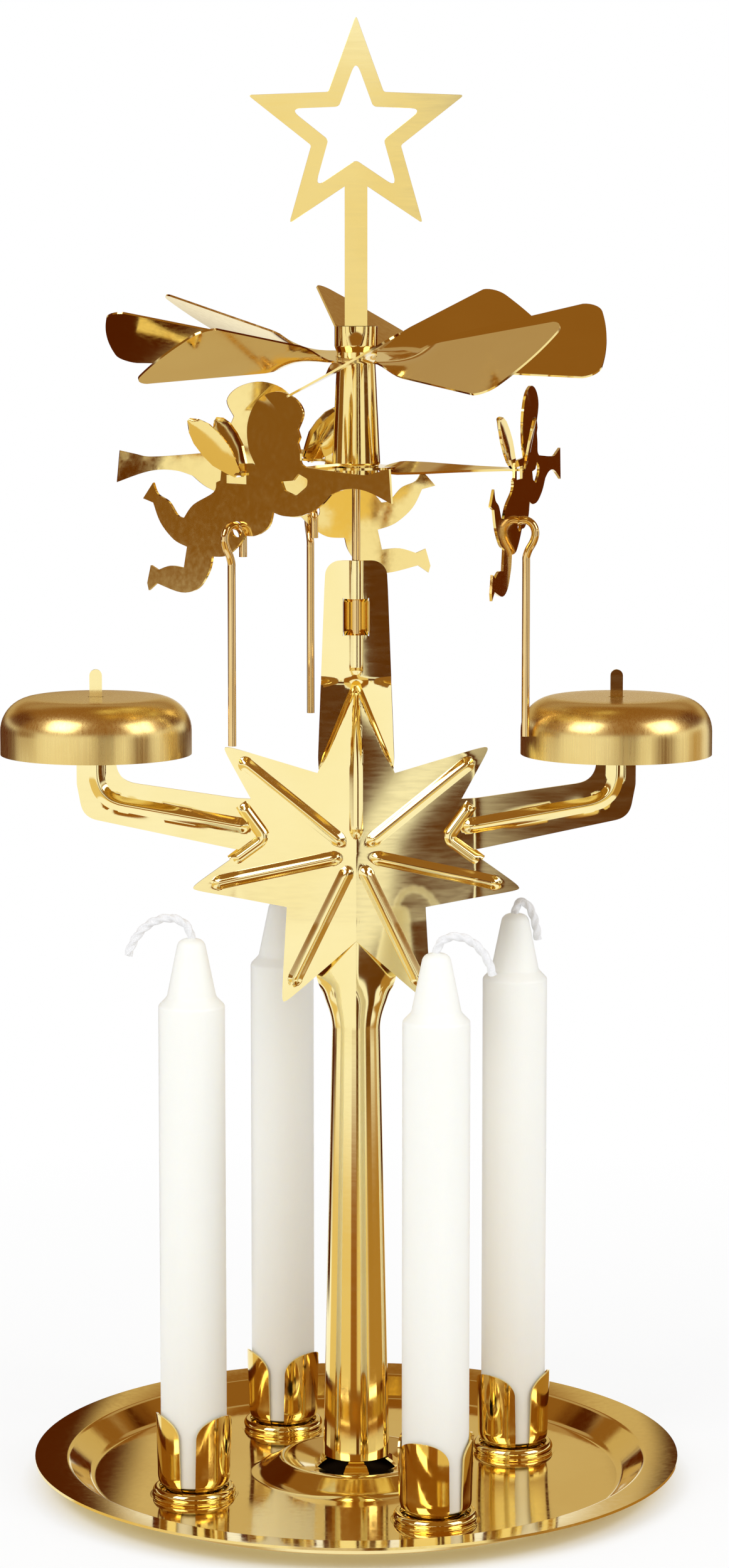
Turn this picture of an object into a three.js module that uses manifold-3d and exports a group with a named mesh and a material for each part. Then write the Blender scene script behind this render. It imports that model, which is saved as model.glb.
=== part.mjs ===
// Candle chime: a brass tray with four candles, a stem that carries a pressed star and two
// bells, and a fan-driven rotor on a needle whose three figures drag strikers past the bells.
// Millimetres and degrees. Z is up, the tray stands on z = 0 and the front faces -Y.

import * as THREE from 'three';
import { mergeVertices } from 'three/addons/utils/BufferGeometryUtils.js';
import Module from 'manifold-3d';

const wasm = await Module();
wasm.setup();

// Clearances and stock
const seatGap = 0.3;
const candleFit = 0.25;
const sheetThickness = 0.5;
const thinSheet = 0.4;
const mergeDistance = 0.01;

// Tray
const trayRadius = 63;
const trayHeight = 5;
const rimWidth = 6.5;
const rimSlope = 0.6;
const trayWallRun = 4.5;
const bossFootRadius = 18;
const bossCrestRadius = 14.6;
const bossHeight = 3.8;
const dishRadius = 8.2;
const dishHeight = 2.2;
const tongueCount = 4;
const tongueWidth = 5.2;
const tongueSlope = 0.8;
const tongueRise = 3;

// Candles and the cups that hold them
const candleCount = 4;
const candleCircle = 34.7;
const candleAzimuth = 25.6;
const candleDiameter = 12.7;
const candleLength = 106.3;
const candleNoseLength = 12;
const candleNoseRadius = 4.4;
const candleTipRadius = 2;
const collarWall = 0.4;
const collarHeight = 2.4;
const cupFlange = 0.3;
const cupRound = 2;
const petalCount = 3;
const petalHeight = 16.2;
const petalSlot = 2.9;
const petalFlare = 0.3;
const cupTurns = [105, 200, 202, 4];
const wickDiameter = 1.5;
const wickShapes = [
  { reach: 4.5, rise: 4, drop: 5, towards: 0 },
  { reach: 5, rise: 4, drop: 1, towards: -20 },
  { reach: 12, rise: 6, drop: 3, towards: 180 },
  { reach: 10.5, rise: 5, drop: 4, towards: 0 },
];

// Stem, pressed star and the arms that carry the bells
const stemFootRadius = 6.5;
const stemTopRadius = 4.65;
const stemLength = 85;
const stemSeam = 0.5;
const neckLength = 17.4;
const neckHalfWidth = 8;
const starPoints = 7;
const starTipRadius = 33.5;
const starInnerRadius = 17.1;
const starTipRound = 0.6;
const starStandOff = 0.4;
const starRidge = 2.8;
const foldReach = 23;
const ribLength = 27;
const ribWidth = 3.6;
const ribHeight = 1.2;
const armWidth = 7.6;
const armRootHeight = 10;
const armRise = 13;
const armBendRadius = 3.2;
const armRibWidth = 1.8;
const bellReach = 50;
const tabWidth = 2.4;
const tabHeight = 5;
const bracketTopWidth = 11.5;
const bracketFootWidth = 14.6;
const bracketHeight = 40.8;
const bracketCorner = 2.8;
const bracketRidge = 0.9;
const windowHeight = 7.3;
const windowDrop = 7.2;
const channelLength = 8.4;

// Bells
const bellRadius = 18.4;
const bellHeight = 11;
const bellRimHeight = 142.7;
const bellShoulder = 5;
const bellWall = 0.6;

// Needle and hub
const needleDiameter = 1.6;
const needleRise = 35.6;
const needlePoint = 5;
const hubWall = 0.4;
const hubBelow = 19.3;
const hubAbove = 8.9;
const hubFootRadius = 4.6;
const hubNeckRadius = 3.7;
const hubTopRadius = 4.1;
const spigotRadius = 4.2;
const spigotLength = 2;
const pivotCupHeight = 5;
const pivotCupDepth = 2.1;

// Fan
const bladeCount = 8;
const fanAzimuth = -3;
const fanLean = 5;
const fanHeight = 3;
const fanDiscRadius = 9;
const bladeTipRadius = 47.5;
const bladeTipWidth = 23.5;
const bladeRootWidth = 6.2;
const bladePitch = 29.5;
const bladeTwistEnd = 17;
const bladeDish = 0.097;

// Carrier, figures and strikers
const figureCount = 3;
const figureAzimuth = -14;
const figureRadius = 31.6;
const carrierDiscRadius = 8;
const carrierRootWidth = 8.5;
const carrierArmWidth = 4.6;
const carrierTwist = 14;
const wingLength = 13.4;
const wingWidth = 6;
const wingLean = 43;
const outerWingFlare = 3.6;
const innerWingFlare = 1.1;
const slotDrop = 2.4;
const hangerDrop = 10.3;
const hangerHoleRadius = 1.5;
const strikerDiameter = 1.5;
const strikerStandOff = 1.6;
const strikerLength = 40.4;
const hookLegLength = 5.2;
const hookRadius = 1.8;

// Ornament on top
const topStarRadius = 21.5;
const topStarInner = 8.9;
const topCutRadius = 13.2;
const topCutInner = 5.5;
const topStripWidth = 4.3;
const topStripLength = 33.2;

// Heights worked out from the sizes above
const stemFoot = dishHeight + tongueSlope * (dishRadius - stemFootRadius + sheetThickness) + seatGap;
const stemTop = stemFoot + stemLength;
const starHeight = stemTop + neckLength + starInnerRadius;
const bracketFoot = starHeight + starInnerRadius * Math.cos(Math.PI / starPoints);
const bracketTop = bracketFoot + bracketHeight;
const pivotHeight = bracketTop + needleRise;
const hubBottom = pivotHeight - hubBelow;
const hubTop = pivotHeight + hubAbove;
const spigotTop = hubBottom + spigotLength;
const fanPlane = pivotHeight + fanHeight;
const carrierPlane = spigotTop - seatGap - sheetThickness / 2;
const cupFloor = sheetThickness + seatGap;
const cupFlangeRadius = candleDiameter / 2 + candleFit + thinSheet + cupFlange;
const candleFoot = cupFloor + cupRound + seatGap;
const armTop = bellRimHeight + bellHeight - bellWall - seatGap;
const hangerHeight = carrierPlane - hangerDrop;

const degrees = Math.PI / 180;
const brass = { color: 0xd9b45f, metalness: 1, roughness: 0.25 };
const brushedBrass = { color: 0xcfa650, metalness: 1, roughness: 0.4 };
const wax = { color: 0xf7f5ea, metalness: 0, roughness: 0.5 };
const cotton = { color: 0xf2f0e6, metalness: 0, roughness: 0.95 };

// A closed mesh with shared vertices and no triangles that have shrunk to a line.
function welded(geometry) {
  const bare = geometry.clone();
  bare.deleteAttribute('normal');
  bare.deleteAttribute('uv');
  const merged = mergeVertices(bare, 1e-4);
  const index = merged.index.array;
  const kept = [];
  for (let i = 0; i < index.length; i += 3) {
    const [a, b, c] = [index[i], index[i + 1], index[i + 2]];
    if (a !== b && b !== c && c !== a) {
      kept.push(a, b, c);
    }
  }
  merged.setIndex(kept);
  return merged;
}

function toSolid(geometry) {
  const mesh = welded(geometry);
  const vertProperties = new Float32Array(mesh.attributes.position.array);
  const triVerts = new Uint32Array(mesh.index.array);
  return new wasm.Manifold(new wasm.Mesh({ numProp: 3, vertProperties, triVerts }));
}

function toGeometry(solid) {
  const mesh = solid.simplify(mergeDistance).getMesh();
  const geometry = new THREE.BufferGeometry();
  geometry.setAttribute('position', new THREE.BufferAttribute(new Float32Array(mesh.vertProperties), 3));
  geometry.setIndex(Array.from(mesh.triVerts));
  geometry.computeVertexNormals();
  return geometry;
}

function joined(geometries) {
  return geometries.map(toSolid).reduce((whole, piece) => whole.add(piece));
}

function fromTriangles(points, triangles) {
  const geometry = new THREE.BufferGeometry().setFromPoints(points);
  geometry.setIndex(triangles);
  return geometry;
}

// A thin plate that follows a grid of points. The grid lies midway between its two faces.
function sheetBody(rows, thickness) {
  const rowCount = rows.length;
  const columnCount = rows[0].length;
  const points = [];
  for (const side of [0.5, -0.5]) {
    for (let i = 0; i < rowCount; i += 1) {
      for (let j = 0; j < columnCount; j += 1) {
        const along = rows[Math.min(i + 1, rowCount - 1)][j].clone().sub(rows[Math.max(i - 1, 0)][j]);
        const across = rows[i][Math.min(j + 1, columnCount - 1)].clone().sub(rows[i][Math.max(j - 1, 0)]);
        const normal = along.cross(across).normalize();
        points.push(rows[i][j].clone().addScaledVector(normal, side * thickness));
      }
    }
  }
  const half = rowCount * columnCount;
  const at = (i, j, side) => side * half + i * columnCount + j;
  const triangles = [];
  const quad = (a, b, c, d) => triangles.push(a, b, c, a, c, d);
  for (let i = 0; i < rowCount - 1; i += 1) {
    for (let j = 0; j < columnCount - 1; j += 1) {
      quad(at(i, j, 0), at(i + 1, j, 0), at(i + 1, j + 1, 0), at(i, j + 1, 0));
      quad(at(i, j, 1), at(i, j + 1, 1), at(i + 1, j + 1, 1), at(i + 1, j, 1));
    }
  }
  const lastRow = rowCount - 1;
  const lastColumn = columnCount - 1;
  for (let i = 0; i < lastRow; i += 1) {
    quad(at(i, 0, 0), at(i, 0, 1), at(i + 1, 0, 1), at(i + 1, 0, 0));
    quad(at(i, lastColumn, 0), at(i + 1, lastColumn, 0), at(i + 1, lastColumn, 1), at(i, lastColumn, 1));
  }
  for (let j = 0; j < lastColumn; j += 1) {
    quad(at(0, j, 0), at(0, j + 1, 0), at(0, j + 1, 1), at(0, j, 1));
    quad(at(lastRow, j, 0), at(lastRow, j, 1), at(lastRow, j + 1, 1), at(lastRow, j + 1, 0));
  }
  return fromTriangles(points, triangles);
}

// A body through a row of like outlines, each given in order round the same way.
function loftBody(rings) {
  const size = rings[0].length;
  const points = rings.flat();
  const triangles = [];
  for (let i = 0; i < rings.length - 1; i += 1) {
    for (let j = 0; j < size; j += 1) {
      const a = i * size + j;
      const b = i * size + ((j + 1) % size);
      triangles.push(a, b, b + size, a, b + size, a + size);
    }
  }
  const last = (rings.length - 1) * size;
  for (let j = 1; j < size - 1; j += 1) {
    triangles.push(0, j + 1, j);
    triangles.push(last, last + j, last + j + 1);
  }
  return fromTriangles(points, triangles);
}

// Profile points are [radius, height], turned round the Z axis.
function turned(profile, segments) {
  const points = profile.map(([radius, height]) => new THREE.Vector2(radius, height));
  const geometry = new THREE.LatheGeometry(points, segments);
  geometry.rotateX(Math.PI / 2);
  return welded(geometry);
}

// A flat outline in X and Z, given a thickness that is centred on y = 0.
function upright(shape, thickness, curveSegments = 4) {
  const options = { depth: thickness, bevelEnabled: false, curveSegments };
  const geometry = new THREE.ExtrudeGeometry(shape, options);
  geometry.rotateX(Math.PI / 2);
  geometry.translate(0, thickness / 2, 0);
  return geometry;
}

function wire(curve, diameter, sides, steps) {
  const section = new THREE.Shape();
  for (let i = 0; i < sides; i += 1) {
    const angle = (i + 0.5) * 2 * Math.PI / sides;
    const point = [Math.cos(angle) * diameter / 2, Math.sin(angle) * diameter / 2];
    if (i === 0) {
      section.moveTo(...point);
    } else {
      section.lineTo(...point);
    }
  }
  section.closePath();
  return new THREE.ExtrudeGeometry(section, { steps, bevelEnabled: false, extrudePath: curve });
}

function box(width, depth, height, x, y, z) {
  return new THREE.BoxGeometry(width, depth, height).translate(x, y, z);
}

function mirroredX(solid) {
  return solid.mirror([1, 0, 0]);
}

function polar(radius, azimuth, height) {
  return new THREE.Vector3(
    radius * Math.cos(azimuth * degrees), radius * Math.sin(azimuth * degrees), height);
}

const chime = new THREE.Group();

function addMesh(name, geometry, finish, parent = chime) {
  const mesh = new THREE.Mesh(geometry, new THREE.MeshStandardMaterial(finish));
  mesh.name = name;
  parent.add(mesh);
  return mesh;
}

// Tray: rolled rim, sloping wall, flat floor and a dished boss with tongues for the stem

function cupSeat() {
  const inside = cupFlangeRadius + seatGap;
  const outside = inside + collarWall;
  const lip = cupFlangeRadius - 0.25;
  return turned([
    [0, 0],
    [outside + 0.5, 0],
    [outside + 0.5, sheetThickness],
    [outside, sheetThickness + 0.4],
    [outside, collarHeight - 0.8],
    [outside - 0.35, collarHeight - 0.1],
    [lip + 0.25, collarHeight],
    [lip, collarHeight - 0.4],
    [inside, collarHeight - 0.9],
    [inside, sheetThickness],
    [0, sheetThickness],
  ], 20);
}

function trayTongue(azimuth) {
  const inside = stemFootRadius - sheetThickness - seatGap - thinSheet / 2;
  const foot = dishHeight - sheetThickness / 2;
  const turnHeight = foot + tongueSlope * (dishRadius - inside);
  const shape = [
    [dishRadius + 1, foot, 0.7],
    [dishRadius, foot, 1],
    [(dishRadius + inside) / 2, (foot + turnHeight) / 2, 0.8],
    [inside, turnHeight, 0.5],
    [inside - 0.1, turnHeight + tongueRise, 0.25],
  ];
  const rows = shape.map(([radius, height, share]) => {
    const half = share * tongueWidth / 2;
    return [-half, half].map((across) => new THREE.Vector3(radius, across, height));
  });
  return sheetBody(rows, thinSheet).rotateZ(azimuth * degrees);
}

function makeTray() {
  const t = sheetThickness;
  const wallTop = trayRadius - rimWidth;
  const wallFoot = wallTop - trayWallRun;
  const rimInner = trayHeight - rimSlope;
  const floorEdge = bossFootRadius + 0.8;
  const plate = turned([
    [trayRadius, trayHeight - t],
    [trayRadius, trayHeight],
    [wallTop, rimInner],
    [wallTop - 0.8, rimInner - 0.6],
    [wallFoot, t],
    [floorEdge, t],
    [bossFootRadius, t + 0.5],
    [bossCrestRadius + 0.6, bossHeight - 0.4],
    [bossCrestRadius, bossHeight],
    [bossCrestRadius - 0.8, bossHeight - 0.4],
    [dishRadius, dishHeight],
    [dishRadius, dishHeight - t],
    [bossCrestRadius - 0.8, bossHeight - 0.4 - t],
    [bossFootRadius - t, t],
    [floorEdge - t, 0],
    [wallFoot, 0],
    [wallTop - 0.8 + t / 2, rimInner - 0.6 - t],
    [wallTop, rimInner - t],
    [trayRadius, trayHeight - t],
  ], 52);
  let tray = toSolid(plate);
  const seat = cupSeat();
  const seatInside = cupFlangeRadius + seatGap;
  for (let i = 0; i < candleCount; i += 1) {
    const place = polar(candleCircle, candleAzimuth + i * 360 / candleCount, 0);
    const hole = new THREE.CylinderGeometry(seatInside + 0.2, seatInside + 0.2, 4 * t, 20);
    hole.rotateX(Math.PI / 2).translate(place.x, place.y, 0);
    tray = tray.subtract(toSolid(hole));
    tray = tray.add(toSolid(seat.clone().translate(place.x, place.y, 0)));
  }
  for (let i = 0; i < tongueCount; i += 1) {
    tray = tray.add(toSolid(trayTongue(-90 + i * 360 / tongueCount)));
  }
  return toGeometry(tray);
}

addMesh('tray', makeTray(), brass);

// Cups: a flange caught under the collar and three petals with round tops

function makeCup() {
  const inner = candleDiameter / 2 + candleFit;
  const middle = inner + thinSheet / 2;
  const flange = turned([
    [0, cupFloor],
    [cupFlangeRadius, cupFloor],
    [cupFlangeRadius, cupFloor + thinSheet],
    [0, cupFloor + thinSheet],
  ], 20);
  const pieces = [flange];
  const top = cupFloor + petalHeight;
  const base = Math.PI / petalCount - Math.asin(petalSlot / 2 / middle);
  const wallStart = cupFloor + cupRound;
  const roundStart = top - middle * Math.sin(base) * 0.8;
  const heights = [cupFloor + thinSheet / 2, cupFloor + cupRound / 2, wallStart, roundStart];
  const insets = [cupRound * 0.6, cupRound * 0.18, 0, 0];
  const shares = [1, 1, 1, 0.97];
  for (const angle of [30, 55, 75, 88]) {
    heights.push(roundStart + (top - roundStart) * Math.sin(angle * degrees));
    shares.push(0.97 * Math.cos(angle * degrees));
  }
  for (let k = 0; k < petalCount; k += 1) {
    const centre = k * 2 * Math.PI / petalCount;
    const rows = heights.map((height, i) => {
      const half = base * shares[i];
      const rise = Math.max(0, height - wallStart) / (top - wallStart);
      const radius = middle - (insets[i] ?? 0) + petalFlare * rise;
      return [-1, -0.5, 0, 0.5, 1].map((across) => {
        const angle = centre + across * half;
        return new THREE.Vector3(radius * Math.cos(angle), radius * Math.sin(angle), height);
      });
    });
    pieces.push(sheetBody(rows, thinSheet));
  }
  return toGeometry(joined(pieces));
}

function makeCandle() {
  const radius = candleDiameter / 2;
  const shoulder = candleLength - candleNoseLength;
  return turned([
    [0, 0],
    [radius - 0.3, 0],
    [radius, 0.3],
    [radius, shoulder - 1.2],
    [radius - 0.7, shoulder - 0.4],
    [candleNoseRadius, shoulder],
    [candleTipRadius, candleLength - 0.7],
    [candleTipRadius * 0.6, candleLength - 0.1],
    [0, candleLength],
  ], 20);
}

function makeWick({ reach, rise, drop, towards }) {
  const bend = new THREE.CubicBezierCurve3(
    new THREE.Vector3(0, 0, 0),
    new THREE.Vector3(0, 0, rise),
    new THREE.Vector3(reach * 0.8, 0, rise),
    new THREE.Vector3(reach, 0, -drop),
  );
  return wire(bend, wickDiameter, 6, 8).rotateZ(towards * degrees);
}

const cupGeometry = makeCup();
const candleGeometry = makeCandle();
for (let i = 0; i < candleCount; i += 1) {
  const place = new THREE.Group();
  place.position.copy(polar(candleCircle, candleAzimuth + i * 360 / candleCount, 0));
  chime.add(place);
  const cup = addMesh(`candle_cup_${i + 1}`, cupGeometry, brass, place);
  cup.rotation.z = cupTurns[i] * degrees;
  const candle = addMesh(`candle_${i + 1}`, candleGeometry, wax, place);
  candle.position.z = candleFoot;
  const wick = addMesh(`wick_${i + 1}`, makeWick(wickShapes[i]), cotton, place);
  wick.position.z = candleFoot + candleLength + seatGap;
}

// Stem and star: one pressing, with the bracket for the needle and the two bell arms

// How far the middle of the pressing stands in front of the plane of the arms.
function ridgeDepth(height) {
  const stations = [
    [stemTop, stemTopRadius - sheetThickness / 2],
    [stemTop + neckLength, starRidge + 0.6],
    [starHeight, starRidge],
    [bracketFoot, (starRidge + bracketRidge) / 2],
    [bracketFoot + starInnerRadius, bracketRidge],
  ];
  if (height <= stations[0][0]) {
    return stations[0][1];
  }
  for (let i = 1; i < stations.length; i += 1) {
    const [z0, d0] = stations[i - 1];
    const [z1, d1] = stations[i];
    if (height <= z1) {
      return d0 + (d1 - d0) * (height - z0) / (z1 - z0);
    }
  }
  return bracketRidge;
}

// The pressing is folded along its middle and falls back to the plane of the arms.
function plateDepth(x, height) {
  const upper = THREE.MathUtils.smoothstep(height, bracketFoot, bracketFoot + starInnerRadius);
  const reach = foldReach + (bracketFootWidth / 2 - foldReach) * upper;
  return -ridgeDepth(height) * Math.max(0, 1 - Math.abs(x) / reach);
}

function folded(geometry) {
  const position = geometry.attributes.position;
  for (let i = 0; i < position.count; i += 1) {
    const shift = plateDepth(position.getX(i), position.getZ(i));
    position.setY(i, position.getY(i) + shift);
  }
  return geometry;
}

// Half a folded plate and its mirror image, sewn together along the fold.
function bothHalves(geometry) {
  const half = welded(geometry);
  const position = half.attributes.position;
  const count = position.count;
  const points = [];
  for (const side of [1, -1]) {
    for (let i = 0; i < count; i += 1) {
      points.push(new THREE.Vector3(side * position.getX(i), position.getY(i), position.getZ(i)));
    }
  }
  const triangles = [];
  const index = half.index.array;
  for (let i = 0; i < index.length; i += 3) {
    const [a, b, c] = [index[i], index[i + 1], index[i + 2]];
    if ([a, b, c].some((corner) => points[corner].x !== 0)) {
      triangles.push(a, b, c, a + count, c + count, b + count);
    }
  }
  return toSolid(fromTriangles(points, triangles));
}

function starCorner(step, radius) {
  const angle = step * Math.PI / starPoints;
  return new THREE.Vector2(radius * Math.sin(angle), starHeight + radius * Math.cos(angle));
}

function starHalf() {
  const shape = new THREE.Shape();
  shape.moveTo(0, starHeight + starTipRadius - starTipRound);
  for (let step = 0; step <= starPoints; step += 1) {
    if (step % 2 === 1) {
      const corner = starCorner(step, starInnerRadius);
      shape.lineTo(Math.max(corner.x, 0), corner.y);
    } else if (step > 0) {
      const tip = starCorner(step, starTipRadius);
      const notch = starCorner(step - 1, starInnerRadius);
      const share = starTipRound / tip.distanceTo(notch);
      const before = tip.clone().lerp(notch, share);
      const after = tip.clone().lerp(starCorner(step + 1, starInnerRadius), share);
      shape.lineTo(before.x, before.y);
      shape.lineTo(after.x, after.y);
    } else {
      shape.lineTo(starTipRound / 2, starHeight + starTipRadius - starTipRound);
    }
  }
  shape.lineTo(0, starHeight);
  shape.lineTo(0, bracketFoot);
  shape.closePath();
  const depth = sheetThickness / 2 + starStandOff;
  return folded(upright(shape, depth).translate(0, -depth / 2, 0));
}

function bracketHalf() {
  const shape = new THREE.Shape();
  const foot = bracketFootWidth / 2;
  const top = bracketTopWidth / 2;
  shape.moveTo(0, bracketFoot - 4);
  shape.lineTo(foot - 1.5, bracketFoot - 4);
  shape.lineTo(foot, bracketFoot + 3);
  shape.lineTo(top + 0.3, bracketTop - bracketCorner * 2);
  shape.lineTo(top, bracketTop - bracketCorner);
  shape.quadraticCurveTo(top, bracketTop, top - bracketCorner, bracketTop);
  shape.lineTo(0, bracketTop);
  shape.lineTo(0, bracketFoot + starInnerRadius);
  shape.closePath();
  return folded(upright(shape, sheetThickness));
}

// The root of an arm slopes with the star as far as the fold line.
function armRoot() {
  const low = starHeight + 0.4;
  const high = starHeight + armRootHeight + 0.2;
  const rows = [starInnerRadius * 0.8, foldReach, foldReach + 1.5].map((x) => [high, low].map(
    (height) => new THREE.Vector3(x, plateDepth(x, height), height)));
  return sheetBody(rows, thinSheet);
}

const armInner = bellReach - armWidth / 2;
const armOuter = bellReach + armWidth / 2;
const armBendHeight = starHeight + armRise;

function armPlate() {
  const low = starHeight + 0.3;
  const bend = armBendRadius;
  const shape = new THREE.Shape();
  shape.moveTo(foldReach + 0.4, low);
  shape.lineTo(armOuter - 1.5 * bend, armBendHeight - armWidth + 1.5);
  shape.quadraticCurveTo(armOuter, armBendHeight - armWidth + 3, armOuter, armBendHeight);
  shape.lineTo(armOuter, armTop - 1);
  shape.lineTo(armOuter - 1, armTop);
  shape.lineTo(bellReach + tabWidth / 2, armTop);
  shape.lineTo(bellReach + tabWidth / 2, armTop + tabHeight);
  shape.absarc(bellReach, armTop + tabHeight, tabWidth / 2, 0, Math.PI, false);
  shape.lineTo(bellReach - tabWidth / 2, armTop);
  shape.lineTo(armInner + 1, armTop);
  shape.lineTo(armInner, armTop - 1);
  shape.lineTo(armInner, armBendHeight + bend);
  shape.quadraticCurveTo(armInner, armBendHeight + 0.6, armInner - bend, armBendHeight + 0.3);
  shape.lineTo(foldReach + 0.4, low + armRootHeight);
  shape.closePath();
  return upright(shape, sheetThickness);
}

function armRib() {
  const depth = -sheetThickness / 2;
  const path = new THREE.CurvePath();
  const start = new THREE.Vector3(foldReach + 1, depth, starHeight + armRootHeight * 0.55);
  const turn = new THREE.Vector3(bellReach - 4.5, depth, armBendHeight - armWidth / 2 + 0.5);
  const corner = new THREE.Vector3(bellReach, depth, armBendHeight - armWidth / 2 + 1.5);
  const rise = new THREE.Vector3(bellReach, depth, armBendHeight + 2);
  const end = new THREE.Vector3(bellReach, depth, bellRimHeight + 3);
  path.add(new THREE.LineCurve3(start, turn));
  path.add(new THREE.QuadraticBezierCurve3(turn, corner, rise));
  path.add(new THREE.LineCurve3(rise, end));
  return wire(path, armRibWidth, 6, 14);
}

function starRib(step) {
  const angle = step * 2 * Math.PI / starPoints;
  const stations = [
    [3.5, 0.35, 0.4],
    [9, 0.9, 1],
    [16, 0.8, 0.95],
    [3.5 + ribLength, 0.2, 0.3],
  ];
  const rings = stations.map(([radius, wide, high]) => {
    const half = wide * ribWidth / 2;
    const front = sheetThickness / 2 + starStandOff;
    return [[-1, 0.2], [-0.7, -0.6], [0, -1], [0.7, -0.6], [1, 0.2]].map(([across, out]) => {
      const x = radius * Math.sin(angle) + across * half * Math.cos(angle);
      const z = starHeight + radius * Math.cos(angle) - across * half * Math.sin(angle);
      const y = plateDepth(x, z) - front + out * (out > 0 ? 1 : high * ribHeight);
      return new THREE.Vector3(x, y, z);
    });
  });
  return loftBody(rings);
}

// The rolled tube, open along a seam at the back, and the neck where it opens out to the star
function stemAndNeck() {
  const rows = [];
  const columns = 22;
  const addRow = (height, radius, halfAngle, front) => {
    const row = [];
    for (let j = 0; j <= columns; j += 1) {
      const angle = halfAngle * (2 * j / columns - 1);
      row.push(new THREE.Vector3(
        radius * Math.sin(angle), radius * (1 - Math.cos(angle)) - front, height));
    }
    rows.push(row);
  };
  for (const [height, outside] of [[stemFoot, stemFootRadius], [stemTop, stemTopRadius]]) {
    const radius = outside - sheetThickness / 2;
    addRow(height, radius, Math.PI - stemSeam / 2 / radius, radius);
  }
  for (const share of [0.12, 0.28, 0.48, 0.72, 1]) {
    const height = stemTop + share * (neckLength + 1.5);
    const halfAngle = Math.PI * (1 - share) ** 2 + 0.35;
    const spread = stemTopRadius + (neckHalfWidth - stemTopRadius) * Math.min(1, share * 2);
    const radius = spread / Math.sin(Math.min(halfAngle, Math.PI / 2));
    addRow(height, radius, halfAngle, ridgeDepth(height));
  }
  return sheetBody(rows, sheetThickness);
}

// Half tubes pressed forward above and below the window, and one pressed back behind it
function needleChannel(low, high, front) {
  const bore = needleDiameter / 2 + seatGap;
  const outside = bore + thinSheet;
  const overlap = 12 * degrees;
  const start = (front ? Math.PI : 0) - overlap;
  const steps = 6;
  const turn = (Math.PI + 2 * overlap) / steps;
  const at = (radius, i) => [
    radius * Math.cos(start + i * turn), radius * Math.sin(start + i * turn)];
  const shape = new THREE.Shape();
  shape.moveTo(...at(outside, 0));
  for (let i = 1; i <= steps; i += 1) {
    shape.lineTo(...at(outside, i));
  }
  for (let i = steps; i >= 0; i -= 1) {
    shape.lineTo(...at(bore, i));
  }
  shape.closePath();
  const options = { depth: high - low, bevelEnabled: false };
  return new THREE.ExtrudeGeometry(shape, options).translate(0, 0, low);
}

function makeStemAndStar() {
  const windowTop = bracketTop - windowDrop;
  const windowLow = windowTop - windowHeight;
  const channelLow = windowLow - channelLength;
  const bore = needleDiameter / 2 + seatGap;
  const path = new THREE.LineCurve3(
    new THREE.Vector3(0, 0, channelLow), new THREE.Vector3(0, 0, bracketTop + 1));
  let plate = bothHalves(bracketHalf()).subtract(toSolid(wire(path, 2 * bore + 0.1, 12, 1)));
  plate = plate.add(toSolid(needleChannel(windowTop, bracketTop, true)));
  plate = plate.add(toSolid(needleChannel(channelLow, windowLow, true)));
  plate = plate.add(toSolid(needleChannel(windowLow - 0.3, windowTop + 0.3, false)));
  const armHalf = toSolid(armPlate()).add(toSolid(armRib())).add(toSolid(armRoot()));
  plate = plate.add(armHalf).add(mirroredX(armHalf));
  plate = plate.add(bothHalves(starHalf()));
  for (let step = 0; step < starPoints; step += 1) {
    plate = plate.add(toSolid(starRib(step)));
  }
  return toGeometry(plate.add(toSolid(stemAndNeck())));
}

addMesh('stem_and_star', makeStemAndStar(), brass);

function makeNeedle() {
  const radius = needleDiameter / 2;
  const foot = bracketTop - windowDrop - windowHeight - channelLength + 0.2;
  return turned([
    [0, foot],
    [radius, foot],
    [radius, pivotHeight - needlePoint],
    [radius * 0.2, pivotHeight - 0.1],
    [0, pivotHeight],
  ], 12);
}

addMesh('needle', makeNeedle(), brass);

// Bells, each with a slot that drops over the tab of its arm

function makeBell() {
  const arc = [0, 30, 60, 90];
  const fillet = (radius) => arc.map((angle) => [
    bellRadius - bellShoulder + radius * Math.cos(angle * degrees),
    bellHeight - bellShoulder + radius * Math.sin(angle * degrees),
  ]);
  const shell = turned([
    [bellRadius - bellWall, 0],
    [bellRadius, 0],
    ...fillet(bellShoulder),
    [0, bellHeight],
    [0, bellHeight - bellWall],
    ...fillet(bellShoulder - bellWall).reverse(),
    [bellRadius - bellWall, 0],
  ], 32);
  const slot = box(tabWidth + 2 * seatGap, sheetThickness + 2 * seatGap, 4 * bellWall, 0, 0, bellHeight);
  return toGeometry(toSolid(shell).subtract(toSolid(slot)));
}

const bellGeometry = makeBell();
for (const [name, side] of [['bell_left', -1], ['bell_right', 1]]) {
  const bell = addMesh(name, bellGeometry, brushedBrass);
  bell.position.set(side * bellReach, 0, bellRimHeight);
}

// Hub tube with a neck for the fan and a spigot for the carrier

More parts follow.
